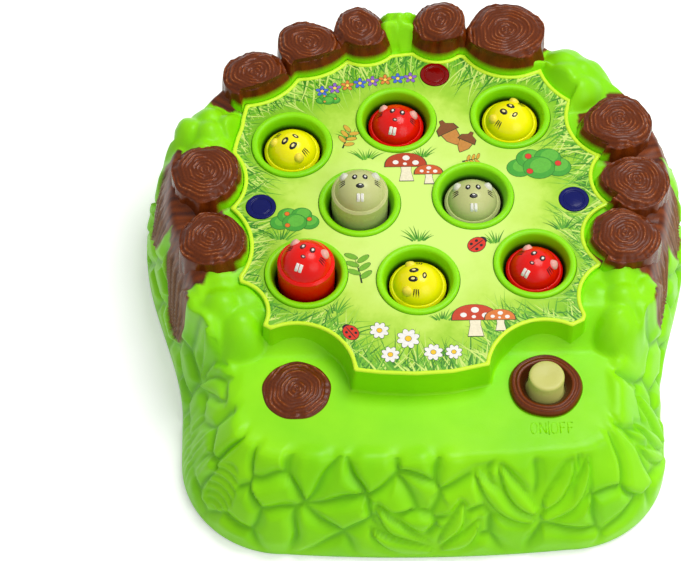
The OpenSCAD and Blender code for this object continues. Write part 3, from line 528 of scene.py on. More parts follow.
around = 900
rock_lumps = 6
rock_over = 14
lump_fall = 17
skirt_rows = 48
top_rows = 24
# Climb from the ledge to the bank: where it starts, and its run
climb_y = -62
climb_run = 20
# Swell round a stump's foot
foot_h = 3
foot_fade = 2.2
# Smooth front lip without stones, along the outline
lip_from, lip_to = 12, 100
# Rounding between wall and top, and how far the wall's waves run in over the top
edge_round = 3
wave_in = 8
# Bark sprayed on the bank: past a stump's foot, further away from the field, and in from the outline
spray = 4.5
spray_out = 7
tongue_in = 22
# Bark below a stump on the outer wall: wider than the stump by this, and grey towards its foot
tongue_w = 10
grey_from = 68
grey_run = 24
outline = casing_outline(around)
outward = normals_of(outline)
run = run_at(outline[:, 1])


def pillow(edge, width):
    """Rises from a soft crease and rounds off to 1."""
    edge = np.sqrt(edge * edge + 1) - 1
    return 1 - (1 - np.clip(edge / width, 0, 1)) ** 2.4


def lumps(du, dv):
    """Pillow-shaped stones round seeds, from the offsets to every seed, and the distance to a stone's border."""
    gap = du * du + dv * dv
    two = np.argpartition(gap, 1, axis=-1)[..., :2]
    u, v, d = (np.take_along_axis(f, two, -1) for f in (du, dv, gap))
    edge = (d[..., 1] - d[..., 0]) / (2 * np.hypot(u[..., 0] - u[..., 1], v[..., 0] - v[..., 1]))
    turn = 2 * np.pi * hash_noise(two[..., 0], 7)
    tilt = rock_lean * (u[..., 0] * np.cos(turn) + v[..., 0] * np.sin(turn)) * smooth(2 * edge / rock_border)
    own = rock_h * (0.6 + 0.4 * hash_noise(two[..., 0], 8))
    return own * pillow(edge, rock_border) + tilt, edge


def outline_distance(ground):
    """Distance inwards from the casing's outline, and the skirt's run there."""
    gap = norm(ground[:, None] - outline, axis=2)
    return gap.min(1), run[gap.argmin(1)]


def wall_height(inset, run_here):
    return rim_z + (ledge_z - rim_z) * (np.maximum(inset, 0) / run_here) ** (1 / skirt_power)


def rock_height(x, y):
    """Boulders as heaps of round lumps, the highest in the middle."""
    level = np.full(x.shape, -1e3)
    for n, (at, radius, top) in enumerate(ROCKS):
        for k in range(rock_lumps):
            turn = 2 * np.pi * (k + 0.6 * hash_noise(k, n + 9)) / (rock_lumps - 1)
            out = min(k, 1) * radius * (0.55 + 0.25 * hash_noise(k, n))
            drop = min(k, 1) * (0.5 + 4.5 * hash_noise(k, n + 30))
            away = np.hypot(x - at[0] - out * math.cos(turn), y - at[1] - out * math.sin(turn))
            level = smooth_max(level, top - drop - lump_fall * (away / radius) ** 2, 1.8)
    return level


def stump_foot(x, y):
    """How high the bank swells round the stumps."""
    swell = np.zeros(x.shape)
    for at, radius, *_ in STUMPS:
        away = np.hypot(x - at[0], y - at[1]) - radius
        swell = np.maximum(swell, foot_h * np.exp(-np.maximum(away, 0) / foot_fade))
    return swell


def with_rocks(level, x, y, wall_z):
    """The skin's height with the boulders that bulge over the wall's upper edge."""
    return smooth_max(level, np.minimum(rock_height(x, y) - 0.5, wall_z + rock_over), 1.5)


def top_level(x, y):
    """Height of the ledge and the bank, before the outer wall cuts them off."""
    climb = smooth((y - climb_y) / climb_run)
    level = ledge_z + (bank_z - ledge_z) * climb
    level = smooth_max(level, rock_height(x, y), 2)
    return level + stump_foot(x, y) * climb


# Relief on the skirt, as places along the outline from the front middle (anticlockwise) and heights

FRONT_ROCKS = [
    (-80, 47), (-57, 46), (-26, 48), (-78, 38), (-46, 40), (-43, 28), (-15, 36), (-96, 23), (-76, 18), (-55, 17),
    (-29, 13), (-13, 20), (-3, 48), (-6, 40), (12, 47), (17, 36), (38, 17), (26, 10), (72, 22), (68, 10), (97, 39),
    (95, 22), (22, 20), (65, 32), (-112, 38), (-119, 22), (118, 31), (40, 34), (104, 8), (-98, 8), (4, 8),
    (-45, 6),
]
# Leaves: foot, tip, half width, sideways bend
LEAVES = [
    ((3, 8), (-25, 31), 4.2, 3), ((3, 7), (-28, 20), 4, 4), ((6, 11), (17, 32), 3.6, -2),
    ((7, 8), (25, 23), 3.6, -3),
    ((53, 22), (24, 46), 4.4, 3), ((54, 26), (36, 48), 3.8, 2), ((56, 23), (85, 48), 4.8, -3),
    ((57, 29), (71, 48), 3.8, -2),
    ((-180, 34), (-190, 54), 4, -2), ((-178, 35), (-173, 56), 4, 1), ((-177, 34), (-161, 47), 4, 3),
    ((150, 12), (132, 36), 4.4, 3), ((151, 12), (146, 40), 4, 1), ((153, 12), (165, 38), 4.4, -2),
    ((300, 10), (283, 34), 4.4, 3), ((302, 10), (318, 33), 4.4, -3), ((301, 11), (301, 38), 4, 0),
    ((-310, 10), (-327, 34), 4.4, 3), ((-308, 10), (-293, 33), 4.4, -3), ((-309, 11), (-309, 37), 4, 0),
    ((420, 10), (403, 33), 4.4, 3), ((422, 10), (438, 34), 4.4, -3), ((421, 11), (421, 38), 4, 0),
]
# Fan shell and grass
shell_at = (-112, 28)
fan_w = 12
fan_r = 15
arc_gap = 4
grass_from, grass_to = -172, -128
grass_gap = 4.6
# Stones: height, width of the rounded border, lean and width of the crease between them
rock_h = 4.2
rock_border = 6.5
rock_lean = 0.1
crease_w = 1.5
crease_shade = 0.65
leaf_rim = 0.6
leaf_crown = 3.4
leaf_ease = 5
groove_h = 1.8
relief_mean = 2
edge_wave = 0.75
edge_blur = 5
bank_rise = 1.7


def relief_rocks():
    """The rocks at the front as seen, and scattered ones of the same size round the rest."""
    gap_s, gap_z = 24.0, 16.0
    lowest_z = 8
    front_span = 128
    rows = list(FRONT_ROCKS)
    for i in range(int(outline_length / gap_s)):
        for j in range(3):
            n = 3 * i + j
            place = (i + 0.25 + 0.5 * hash_noise(n, 1) + 0.5 * (j % 2)) * gap_s
            place = place - outline_length if place > outline_length / 2 else place
            if abs(place) > front_span:
                rows.append((place, lowest_z + gap_z * (j + 0.3 * hash_noise(n, 2))))
    return np.array(rows, float)


def round_gap(s, place):
    """Signed distance along the closed outline."""
    return (s - place + outline_length / 2) % outline_length - outline_length / 2


def relief(s, z):
    """Rocks, leaves, a fan shell and grass on the skirt: how far the wall stands out, and how much painted shade
    it gets in its creases.
    """
    bent_s = s + 0.9 * np.sin(0.3 * z + 0.9 * np.sin(0.09 * s))
    bent_z = z + 0.8 * np.sin(0.19 * s + 0.8 * np.sin(0.15 * z))
    du = round_gap(bent_s[..., None], rocks[:, 0])
    dv = (bent_z[..., None] - rocks[:, 1]) * 1.25
    stand, edge = lumps(du, dv)
    # Painted shade: the wall is darkened along the creases between stones, between the fan shell's ribs, between
    # grass blades and round the leaves
    painted_crease_shade = np.exp(-(edge / crease_w) ** 2)
    across = round_gap(s, shell_at[0])
    arcs = 1.8 + 0.8 * np.sin(np.hypot(across, z - shell_at[1] + fan_r) * 2 * np.pi / arc_gap)
    in_fan = smooth((1 - np.hypot(across / fan_w, (z - shell_at[1]) / fan_r)) / 0.25)
    stand = stand * (1 - in_fan) + arcs * in_fan
    painted_crease_shade = painted_crease_shade * (1 - in_fan) + 0.4 * smooth(1 - arcs) * in_fan
    blade = np.sin(s * 2 * np.pi / grass_gap + 1.9 * np.sin(z * 0.1 + 0.05 * s))
    blade = blade * (0.6 + 0.4 * np.sin(s * 0.5 + z * 0.21))
    in_grass = 0.8 * smooth((s - grass_from) / 8) * smooth((grass_to - s) / 8) * smooth((40 - z) / 12)
    stand = stand * (1 - in_grass) + in_grass * (1.6 + 0.7 * blade)
    painted_crease_shade = painted_crease_shade * (1 - in_grass) + in_grass * 0.5 * smooth(-blade)
    for foot, tip, half, bend in LEAVES:
        u, v = round_gap(s, foot[0]), z - foot[1]
        line = np.subtract(tip, foot)
        length = norm(line)
        a = (u * line[0] + v * line[1]) / length ** 2
        b = (u * line[1] - v * line[0]) / length + bend * a * (1 - a) * 4
        width = half * np.sin(np.pi * np.clip(a, 0.001, 0.999) ** 0.8) ** 0.8
        across = np.clip(np.abs(b) / np.maximum(width, 1e-3), 0, 1)
        on = (a > 0) & (a < 1) & (across < 1)
        crown = leaf_rim + leaf_crown * np.sqrt(1 - across ** 2)
        off = np.hypot(np.maximum(np.abs(b) - width, 0), np.maximum(np.abs(a - 0.5) - 0.5, 0) * length)
        stand = np.where(on, crown, stand + (leaf_rim - stand) * smooth(1 - off / leaf_ease))
        leaf_edge_shade = np.maximum(painted_crease_shade * smooth(off / leaf_ease), 0.5 * smooth(1 - off / 2))
        painted_crease_shade = np.where(on, 0.5 * smooth((across - 0.75) / 0.25), leaf_edge_shade)
    return stand, painted_crease_shade


def bark_on_wall(s, z):
    """Share of bark on the outer wall, a tongue below each stump that narrows to its end, and its grooves."""
    cover = np.zeros(s.shape)
    groove = np.full(s.shape, 0.5)
    for n, ((at, radius, top, shift, low), place) in enumerate(zip(STUMPS, stump_along)):
        down = np.clip((z - low) / (bank_z - low), 0, 1.6)
        centre = place + shift * (1 - np.minimum(down, 1)) ** 1.3
        half = (radius + tongue_w) * np.maximum(down, 0.02) ** 0.5
        q = round_gap(s, centre) / half
        ragged = 1.5 * waves(q * 7, at[0])
        own = smooth((1 - np.abs(q)) * half / 4 + 0.4) * smooth((z - low - ragged) / 4)
        # The stripes shape the bark's grooves, and the bark is painted darker in them and lighter on the ridges
        stripes = 0.5 + 0.22 * np.sin(q * 15 + n) + 0.28 * np.sin(q * 33 + 2 * n + 0.08 * z)
        groove = np.where(own > cover, stripes, groove)
        cover = np.maximum(cover, own)
    return cover, groove


def weathering(z):
    """Share of grey in the bark, more towards its foot."""
    return smooth((grey_from - z) / grey_run)


def bark_on_bank(x, y):
    """Spray that reaches past a stump's foot, further on the side away from the field."""
    cover = np.zeros(x.shape)
    reach = spray + spray_out * smooth((field_gap(x, y) - 4) / 6)
    for at, radius, *_ in STUMPS:
        cover = np.maximum(cover, smooth((radius + reach - np.hypot(x - at[0], y - at[1])) / 4))
    return cover


step = norm(np.roll(outline, -1, axis=0) - outline, axis=1)
outline_length = step.sum()
along = np.concatenate([[0], np.cumsum(step)[:-1]])
along = np.where(along > outline_length / 2, along - outline_length, along)
rocks = relief_rocks()
stump_along = [along[np.hypot(*(outline - at).T).argmin()] for at, *_ in STUMPS]


def blurred(values, width):
    """Values round the outline, each averaged with its neighbours."""
    share = np.hanning(2 * width + 1)[1:-1]
    turned = [weight * np.roll(values, k + 1 - width) for k, weight in enumerate(share)]
    return sum(turned) / share.sum()


def casing_rows():
    """Rings of the skin from inside the rim, up the skirt and in to the field's edge: points, paint, painted
    shade, weathered, and the bark's grain tone with painted light on its ridges and painted shade in its grooves."""
    none = np.zeros(around)
    for height in (6, 0):
        yield raised(outline - outward * wall, rim_z + height), none, none, none, none
    clean_lip = smooth((along - lip_from) / 10) * smooth((lip_to - along) / 8)
    bare = (1 - clean_lip) * (1 - bark_on_wall(along, none + ledge_z)[0])
    wave = edge_wave * bare * (blurred(relief(along, none + ledge_z - 4)[0], edge_blur) - relief_mean)
    for t in np.linspace(0, 1, skirt_rows) ** 0.9:
        inset = run * t ** skirt_power
        z = wall_height(inset, run)
        bark, groove = bark_on_wall(along, z)
        stand, painted_crease_shade = relief(along, z)
        fade = smooth(t / 0.25) * (1 - (0.2 + 0.7 * clean_lip) * smooth((t - 0.9) / 0.1) * (1 - bark))
        stand = (stand - relief_mean) * (1 - bark) + groove_h * (groove - 0.5) * bark
        stand = np.minimum(stand * fade, 0.9 * inset)
        ground = outline + outward * (stand - inset)[:, None]
        level = smooth_min(z, top_level(*ground.T), edge_round) + wave * smooth((t - 0.7) / 0.3)
        level = level + (with_rocks(level, *ground.T, z) - level) * smooth((t - 0.8) / 0.2)
        # Painted shade in the skirt's creases, none on the bark
        painted_shade = crease_shade * painted_crease_shade * (1 - bark) * fade
        yield raised(ground, level), bark, painted_shade, bark * weathering(z), groove
    skirt_top = outline - outward * run[:, None]
    angles = np.arctan2(skirt_top[:, 1] - field_centre[1], skirt_top[:, 0] - field_centre[0])
    inner = field_edge(angles, bead_w + 1)
    reach = norm(inner - skirt_top, axis=1)
    for u in np.linspace(0, 1, top_rows + 1)[1:]:
        ground = skirt_top + (inner - skirt_top) * u
        inset, run_here = outline_distance(ground)
        wall_z = wall_height(inset, run_here)
        z = with_rocks(smooth_min(wall_z, top_level(*ground.T), edge_round), *ground.T, wall_z)
        z = z + wave * smooth(1 - u * reach / wave_in)
        z = np.minimum(z, bank_z - 0.6 + bank_rise * np.maximum((1 - u) * reach - bead_w - 1, 0))
        tongue, groove = bark_on_wall(along, z)
        rock = smooth((rock_height(*ground.T) - bank_z + 4) / 2.5)
        bark = np.maximum(tongue * smooth((tongue_in - inset) / 6), bark_on_bank(*ground.T)) * (1 - rock)
        yield raised(ground, z), bark, none, bark * weathering(z), groove


def casing_piece(name, points, faces, paint=0, painted_shade=0, weathered=0, grain_light_and_shade=0, material=casing_material):
    """A piece of the casing's one moulding, with the values that its material reads."""
    return piece(name, points, faces, material, "casing", "shell_green",
                 {"paint": paint, "painted_shade": painted_shade, "weathered": weathered, "grain_light_and_shade": grain_light_and_shade})


rows = list(casing_rows())
skin = np.vstack([r[0] for r in rows])
skin_faces = grid_faces(len(rows), around)
from_button = norm(skin[skin_faces].mean(1)[:, :2] - button_at, axis=1)
casing = casing_piece("casing_skin", skin, skin_faces[from_button > bezel_r - 3],
                      *[np.concatenate([r[k] for r in rows]) for k in (1, 2, 3, 4)])
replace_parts(casing, "top_shell")


# Stumps

stump_steps = 108
ring_gap = 1.9
foot_gap = 0.3
rim_gap = 3
stump_drop = 3
bark_rows = 12
bark_down = 14


def log_end(n, a, radius, top, edge_drop, ring_h=0.7):
    """Rows of a sawn log's end, from the middle out: growth rings in short arcs, then a rough rounded edge."""
    rows = []
    count = int(radius / ring_gap * 4.2)
    wobble = 1.1 * np.sin(2 * a + 1.7 * n) + 0.7 * np.sin(3 * a + 0.9 * n) + 0.3 * np.sin(8 * a + n)
    teeth = np.sin(23 * a + 2 * np.sin(3 * a + n)) * (0.6 + 0.4 * np.sin(5 * a + 2 * n))
    for k in range(1, count + 1):
        r = radius * k / count
        share = r / radius
        turn = (r + wobble * share) / ring_gap
        own = np.round(turn)
        arcs = np.sin((2 + np.floor(3 * hash_noise(own, n))) * a + 6.28 * hash_noise(own, n + 5))
        ring = (0.5 + 0.5 * np.cos(2 * np.pi * turn)) ** 1.8 * (0.2 + 0.8 * smooth(0.45 + 0.8 * arcs))
        rough = 0.13 * edge_drop * teeth * smooth((share - 0.72) / 0.2)
        z = top - 1.2 * ring_h + ring_h * ring + rough - edge_drop * smooth((share - 0.62) / 0.38) ** 1.6
        # The last value paints the rings lighter on their crests and darker in the valleys, for painted light and
        # shade
        rows.append((r, z, 1, 0, 0.3 + 0.85 * ring + 0.3 * rough))
    return rows


def off_field(points):
    """Points pushed out of the field, further at the top of a stump than at its foot."""
    way = points[:, :2] - field_centre
    away = norm(way, axis=1)
    least = field_reach(np.arctan2(way[:, 1], way[:, 0]), 0) + foot_gap
    least = least + (rim_gap - foot_gap) * smooth((points[:, 2] - field_z) / 10)
    flat = field_centre + way * np.maximum(least / away, 1)[:, None]
    return raised(flat, points[:, 2])


def log_piece(name, at, top, a, shape, rows):
    """A closed log end from rows of radius, height, paint, weathered, and grain tone with painted light on the
    ridges and ring crests and painted shade in the grooves and ring valleys.
    """
    rings = [ring_at(at, r * shape, a, z) for r, z, *_ in rows]
    points = off_field(np.vstack([[[at[0], at[1], top]], *rings]))
    faces = [(0, 1 + k, 1 + (k + 1) % len(a)) for k in range(len(a))]
    faces += grid_faces(len(rows), len(a), 1)[:, ::-1].tolist()
    paint, weathered, grain_light_and_shade = [np.concatenate([[middle], *[np.broadcast_to(r[k], a.shape) for r in rows]])
                                for k, middle in ((2, 1), (3, 0), (4, 1))]
    return casing_piece(name, points, faces, paint, 0, weathered, grain_light_and_shade, log_material)


def stump(n, at, radius, top):
    """A log end on flared, grooved bark, whose paint thins out to the green at its foot."""
    a = circle(stump_steps)
    shape = 1 + 0.035 * np.sin(2 * a + n) + 0.035 * np.sin(3 * a + 2.3 * n) + 0.015 * np.sin(7 * a + n)
    rows = log_end(n, a, radius, top, stump_drop)
    way = np.subtract(at, field_centre) / norm(np.subtract(at, field_centre))
    outer = smooth((np.cos(a) * way[0] + np.sin(a) * way[1] + 0.1) / 0.4)
    edge_z = top - stump_drop
    foot = bank_z - 2 - bark_down * outer
    far = smooth((field_gap(at[0] + radius * np.cos(a), at[1] + radius * np.sin(a)) - 4) / 5)
    for t in np.linspace(0.05, 1, bark_rows):
        z = edge_z - (edge_z - foot) * t
        groove = np.sin(13 * a + 1.1 * np.sin(z * 0.12 + n) + 0.9 * np.sin(3 * a + n)) * np.sin(5 * a + 2 * n)
        groove = 0.6 * groove + 0.3 * np.sin(19 * a + 0.7 * np.sin(z * 0.2) + n) * np.sin(4 * a + 3 * n)
        flare = (edge_z - z) * (0.34 - 0.29 * outer)
        fade = np.maximum(np.maximum(outer, far), smooth((z - field_z - 0.2) / 6.5))
        # Bark painted darker in its grooves and lighter on the ridges
        rows.append((radius + flare + 0.6 * groove * smooth(t * 5), z, fade, outer * weathering(z),
                     0.55 + 0.4 * groove))
    return log_piece(f"stump_{n + 1}", at, top, a, shape, rows)


for n, (at, radius, top, *_) in enumerate(STUMPS):
    stump(n, at, radius, top)


# Log-slice badge and the button's bezel on the ledge

def badge():
    """A flat log slice let into the ledge."""
    a = circle(stump_steps)
    shape = 1 + 0.014 * np.sin(2 * a + 1) + 0.01 * np.sin(5 * a) + 0.006 * np.sin(9 * a)
    edge_drop = 1
    top = ledge_z + badge_h
    skirt = 1.2
    rows = log_end(20, a, badge_r - skirt, top, edge_drop, 0.6)
    for grow, down, paint in ((0.3, 0.6, 1), (0.8, 1.2, 0.75), (skirt, badge_h - edge_drop + 0.3, 0.3)):
        rows.append((badge_r - skirt + grow, top - edge_drop - down, paint, 0, 0.4))
    return log_piece("badge", badge_at, top, a, shape, rows)


def bezel():
    """A brown ring with two raised rolls and a rounded mouth round the button."""
    a = circle(stump_steps)
    shape = 1 + 0.014 * np.sin(2 * a + 2) + 0.012 * np.sin(5 * a + 1)
    top = ledge_z + slice_h
    profile = rounded([(bezel_r + 0.2, ledge_z - 0.4), (bezel_r - 0.6, top - 1.6), (bezel_r - 1.8, top - 0.3),
                       (bezel_r - 2.9, top - 0.9), (bezel_r - 4, top - 0.1), (button_hole_r + 3, top - 0.5),
                       (button_hole_r + 0.4, ledge_z + 0.4), (button_hole_r, ledge_z - wall)], 0.8)
    points, faces = lathe(profile, button_at, stump_steps, shape)
    radius = np.repeat([r for r, _ in profile], stump_steps)
    level = points[:, 2] - ledge_z
    ring = 0.5 + 0.5 * np.cos(2 * np.pi * radius / ring_gap)
    # Painted shade: the mouth's inside is painted the darkest brown, below the tone of the ring stripes
    inside = smooth((button_hole_r + 3.5 - radius) / 1.5)
    paint = np.maximum(inside, smooth((level + 0.8) / 1.6))
    return casing_piece("bezel", points, faces, paint, grain_light_and_shade=0.25 + 0.5 * ring * smooth(level / 3) - inside,
                        material=log_material)


badge()
bezel()


# Field: wall and bead round it

turns = circle(600)
profile = rounded([(-5, ledge_z - 1), (-1.2, ledge_z + 0.2), (0, field_z - 4), (0, bead_z), (bead_w, bead_z),
                   (bead_w + 0.3, field_z - 1)], 1.6, 3)
wall_rows = [raised(field_edge(turns, d), z) for d, z in profile]
split = next(k for k, p in enumerate(profile) if p[1] > field_z - 0.6)
casing_piece("field_wall", np.vstack(wall_rows[:split + 1]), grid_faces(split + 1, len(turns)))
piece("field_bead", np.vstack(wall_rows[split:]), grid_faces(len(wall_rows) - split, len(turns)), bead_material,
      "casing", "shell_green")


# Hole collars

def middle_of(node):
    low, high = box_mm(node)
    return (low + high)[:2] / 2


MOLE_AT = {name: middle_of("mole_" + name) for name in MOLES}
collar_profile = rounded([(ring_r, field_z - 1), (ring_r, ring_z), (mouth_r, ring_z), (hole_r, funnel_z),
                          (hole_r, cup_z)], 1.4)
for name, at in MOLE_AT.items():
    points, faces = lathe(collar_profile, at, 64)
    # Painted shade: the funnel is painted darker with depth below the ring, darkest down the hole
    down = np.where(norm(points[:, :2] - at, axis=1) < mouth_r + 0.5, ring_z - points[:, 2], 0)
    casing_piece("collar_" + name, points, faces, painted_shade=0.05 + 0.95 * smooth(down / 5))


# Looks of the CAD nodes that show as they are, by material slot

BLACK = srgb(18, 16, 16)
WHITE = srgb(250, 248, 240)
GOLD = srgb(255, 242, 4)
CRIMSON = srgb(236, 12, 0)
KHAKI = srgb(196, 200, 132)


def print_look():
    """Printed sheet: pale in the middle, grass green towards the edge, with soft brush marks."""
    look = Look("print_look", Specular_IOR_Level=0.15)
    away = look.add("ShaderNodeVectorMath", {"operation": "MULTIPLY_ADD"}, _0=look.place, _1=(10.6, 10.2, 0),
                    _2=(0.0, -0.13, 0)).outputs[0]
    away = look.add("ShaderNodeVectorMath", {"operation": "LENGTH"}, _0=away).outputs["Value"]
    away = look.maths("ADD", away, look.stray(0.5, 70, 4, 0.6))
    colour = look.mix(look.ramp(away, 0.35, 0.8), srgb(216, 246, 126), srgb(188, 228, 72))
    colour = look.mix(look.ramp(away, 0.66, 1.0), colour, srgb(130, 194, 36))
    look.set("Base Color", colour)
    look.gloss(300, 0.3, 0.4)
    return look.material


def board_look():
    """Circuit board: green lacquer over fine straight tracks."""
    look = Look("board_look", Coat_Weight=0.3, Coat_Roughness=0.15)
    tracks = look.add("ShaderNodeTexWave", {"bands_direction": "X"}, Vector=look.place, Scale=70.0, Distortion=1.5,
                      Detail=1.0).outputs["Fac"]
    look.set("Base Color", look.mix(look.ramp(tracks, 0.55, 0.7), srgb(20, 92, 48), srgb(44, 130, 70)))
    look.set("Roughness", look.ramp(tracks, 0.5, 0.7, 0.4, 0.3))
    look.bump(tracks, 0.00004)
    return look.material


LOOKS = {
    "shell_green": plastic("cover_look", LIME_DEEP, 0.42, grain=0.00008, grain_scale=1500),
    "steel": metal("steel_look", srgb(188, 190, 194), 0.28),
    "cell_jacket": plastic("cell_look", srgb(196, 120, 40), 0.3, 0.15),
    "lens_blue": plastic("lens_blue_look", srgb(5, 15, 94), 0.16, 0.14, specular=0.15),
    "lens_red": plastic("lens_red_look", srgb(130, 2, 0), 0.16, 0.14, specular=0.15),
    "ivory_plastic": plastic("ivory_look", srgb(226, 220, 200), 0.4),
    "rubber_black": plastic("rubber_look", srgb(32, 32, 33), 0.75, 0.2, 0.0001),
    "grey_plastic": plastic("grey_look", srgb(120, 122, 124), 0.4),
    "black_plastic": plastic("black_look", srgb(30, 30, 32), 0.45, 0.2),
    "clear_plastic": plastic("led_look", srgb(232, 236, 238), 0.12),
    "board_green": board_look(),
    "mole_yellow": plastic("mole_yellow_look", GOLD, 0.2, 0.05),
    "mole_red": plastic("mole_red_look", CRIMSON, 0.2, 0.07),
    "mole_khaki": plastic("mole_khaki_look", KHAKI, 0.24, 0.06),
    "motor_metal": metal("motor_look", srgb(176, 178, 180), 0.34, (1, 1, 0.1)),
    "print_sheet": print_look(),
    "button_khaki": plastic("button_look", srgb(198, 196, 108), 0.3, 0.05),
    "speaker_metal": metal("speaker_look", srgb(150, 152, 156), 0.4),
    "orange_plastic": plastic("orange_look", srgb(236, 128, 30), 0.35),
}
SLOT_OF = {part["node"]: part["material_slot"] for part in frame["record"]["subparts"]}
for node, obj in frame["nodes"].items():
    obj.data.materials.clear()
    obj.data.materials.append(LOOKS[SLOT_OF[node]])


# Mole faces, drawn on the dome of the head; yaw turns the face about the stem, 0 looks to the front

dome_r = (head_r ** 2 + head_h ** 2) / (2 * head_h)
MOLE_YAW = {"back_left": 143, "back_middle": -15, "back_right": 44, "middle_left": 0, "middle_right": 0,
            "front_left": -25, "front_middle": 83, "front_right": -38}
MAROON = srgb(64, 6, 6)
PINK = srgb(250, 206, 196)
FACES = {
    "mole_yellow": {"line": BLACK, "eye": (1.6, 2.4), "iris": srgb(255, 240, 150), "share": 0.5,
                    "nose": (1.9, 1.1), "tip": srgb(255, 240, 150), "ear": srgb(255, 234, 70), "teeth": False},
    "mole_red": {"line": MAROON, "eye": (1.4, 1.9), "iris": WHITE, "share": 0.55,
                 "nose": (1.3, 0.95), "tip": PINK, "ear": srgb(244, 178, 164), "teeth": True},
    "mole_khaki": {"line": BLACK, "eye": (1.35, 1.75), "iris": WHITE, "share": 0.48,
                   "nose": (2.1, 1.3), "tip": None, "ear": srgb(226, 226, 206), "teeth": True},
}
face_material = painted("mole_face_paint", 0.25)


def oval(at, half, turn=0, count=20):
    return placed(half * ways(circle(count)), at, turn)


class Paint:
    """Patches of colour gathered into one mesh."""

    def __init__(self):
        self.verts, self.faces, self.tint = [], [], []

    def add(self, points, faces, colour):
        first = len(self.verts)
        self.verts += [tuple(p) for p in points]
        self.faces += [tuple(first + int(i) for i in f) for f in faces]
        self.tint += [colour] * len(points)

    def fan(self, rim, middle, colour):
        n = len(rim)
        self.add(np.vstack([rim, [middle]]), [(k, (k + 1) % n, n) for k in range(n)], colour)

    def made(self, name, material, body, slot):
        return piece(name, self.verts, self.faces, material, body, slot, tint=self.tint)


def on_dome(points, lift):
    x, y = points.T
    return np.column_stack([x, y, np.sqrt((dome_r + lift) ** 2 - x * x - y * y) - dome_r])


def mark(paint, rim, colour, lift):
    """A patch that swells from the head: its rim lies in the head's surface, its middle stands out by lift."""
    middle = rim.mean(0)
    n = len(rim)
    steps = ((1, 0.01), (0.9, 0.6 * lift), (0.6, lift))
    rings = [on_dome(middle + (rim - middle) * share, high) for share, high in steps]
    paint.add(np.vstack(rings), grid_faces(len(steps), n), colour)
    paint.fan(rings[2], on_dome(middle[None], lift)[0], colour)


def ear(paint, at, height, colour):
    """A round ear with a raised rim, set over the moulded knob."""
    rows, steps = 9, 18
    out = np.array([at[0], at[1] - 3.0, 4.5])
    out /= norm(out)
    side = np.cross(out, [0, 0, 1.0])
    side /= norm(side)
    over = np.cross(side, out)
    sweep = ways(circle(steps)) @ [side, -over]
    rings = []
    for polar in np.linspace(2.2, 0.12, rows):
        r = ear_r + 0.06 + 0.3 * math.exp(-((polar - 0.85) / 0.28) ** 2)
        rings.append([*at, height] + r * (math.cos(polar) * out + math.sin(polar) * sweep))
    paint.add(np.vstack(rings), grid_faces(rows, steps)[:, ::-1], colour)
    paint.fan(rings[-1][::-1], rings[-1].mean(0), colour)


def face(name, slot):
    """Eyes, whiskers, teeth, ears and nose of one mole, drawn round the top of its head and then put in place."""
    spec = FACES[slot]
    eye, nose = np.array(spec["eye"]), np.array(spec["nose"])
    paint = Paint()
    for side in (-1, 1):
        eye_at = np.array([side * 2.6, 2.4])
        mark(paint, oval(eye_at, eye, side * 0.12), spec["line"], 0.22)
        mark(paint, oval(eye_at + [0.1, 0.12], eye * spec["share"]), spec["iris"], 0.3)
        for k in (-1, 0, 1):
            start = np.array([side * 7.4, 0.3 + 0.95 * k])
            end = start + [side * 3.2, 0.5 * k - 0.2]
            half = np.array([0.0, 0.26])
            rim = np.vstack([start - half, (start + end) / 2 - half * 1.2, end, (start + end) / 2 + half * 1.2,
                             start + half])
            mark(paint, rim[::side], spec["line"], 0.2)
        if spec["teeth"]:
            tooth = [(0, 1.7), (-0.85, 1.7), (-0.85, -1.5), (0.85, -1.5), (0.85, 1.7), (0, 1.7)]
            mark(paint, np.array(rounded(np.add(tooth, (side, -8.5)), 0.5)[:-1]), WHITE, 0.55)
        ear(paint, (side * ear_at[0], ear_at[1]), -head_h / 2, spec["ear"])
    nose_at = np.array([0, -3.1])
    mark(paint, oval(nose_at, nose), spec["line"], 0.12)
    if spec["tip"]:
        mark(paint, oval(nose_at, nose * (0.6, 0.55)), spec["tip"], 0.17)
    else:
        mark(paint, oval(nose_at + [0.1, 0.55], (0.85, 0.35)), WHITE, 0.17)
    local = np.array(paint.verts)
    top = box_mm("mole_" + name)[1][2]
    paint.verts = raised(placed(local[:, :2], MOLE_AT[name], math.radians(MOLE_YAW[name])), top + local[:, 2])
    paint.made("face_" + name, face_material, "mole_" + name, slot)


for name in MOLES:
    face(name, SLOT_OF["mole_" + name])


# Lamp lenses and the power button

LENSES = ("red_lens", "blue_lens_left", "blue_lens_right")


def lens(node):
    """A lens with a stepped face, its flange under the deck and its socket."""
    at = middle_of(node)
    low, high = box_mm(node)
    top = high[2]
    flange = deck_under - 1.5
    bore_r, socket_r = 2.6, 4.1
    socket = [(0, flange), (bore_r, flange), (bore_r, low[2]), (socket_r, low[2]), (socket_r, flange),
              (lens_flange_r, flange), (lens_flange_r, deck_under), (lens_r, deck_under)]
    face_of = rounded([(lens_r, deck_under), (lens_r, top), (5.6, top), (5.2, top - 0.5), (4.7, top - 0.5),
                       (4.4, top - 0.25), (1.5, top - 0.1), (0.6, top - 0.08)], 0.35)
    points, faces = lathe(socket + face_of[1:] + [(0, top - 0.08)], at, 48)
    slot = SLOT_OF[node]
    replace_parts(piece(node + "_face", points, faces, LOOKS[slot], "casing", slot), node)


for node in LENSES:
    lens(node)


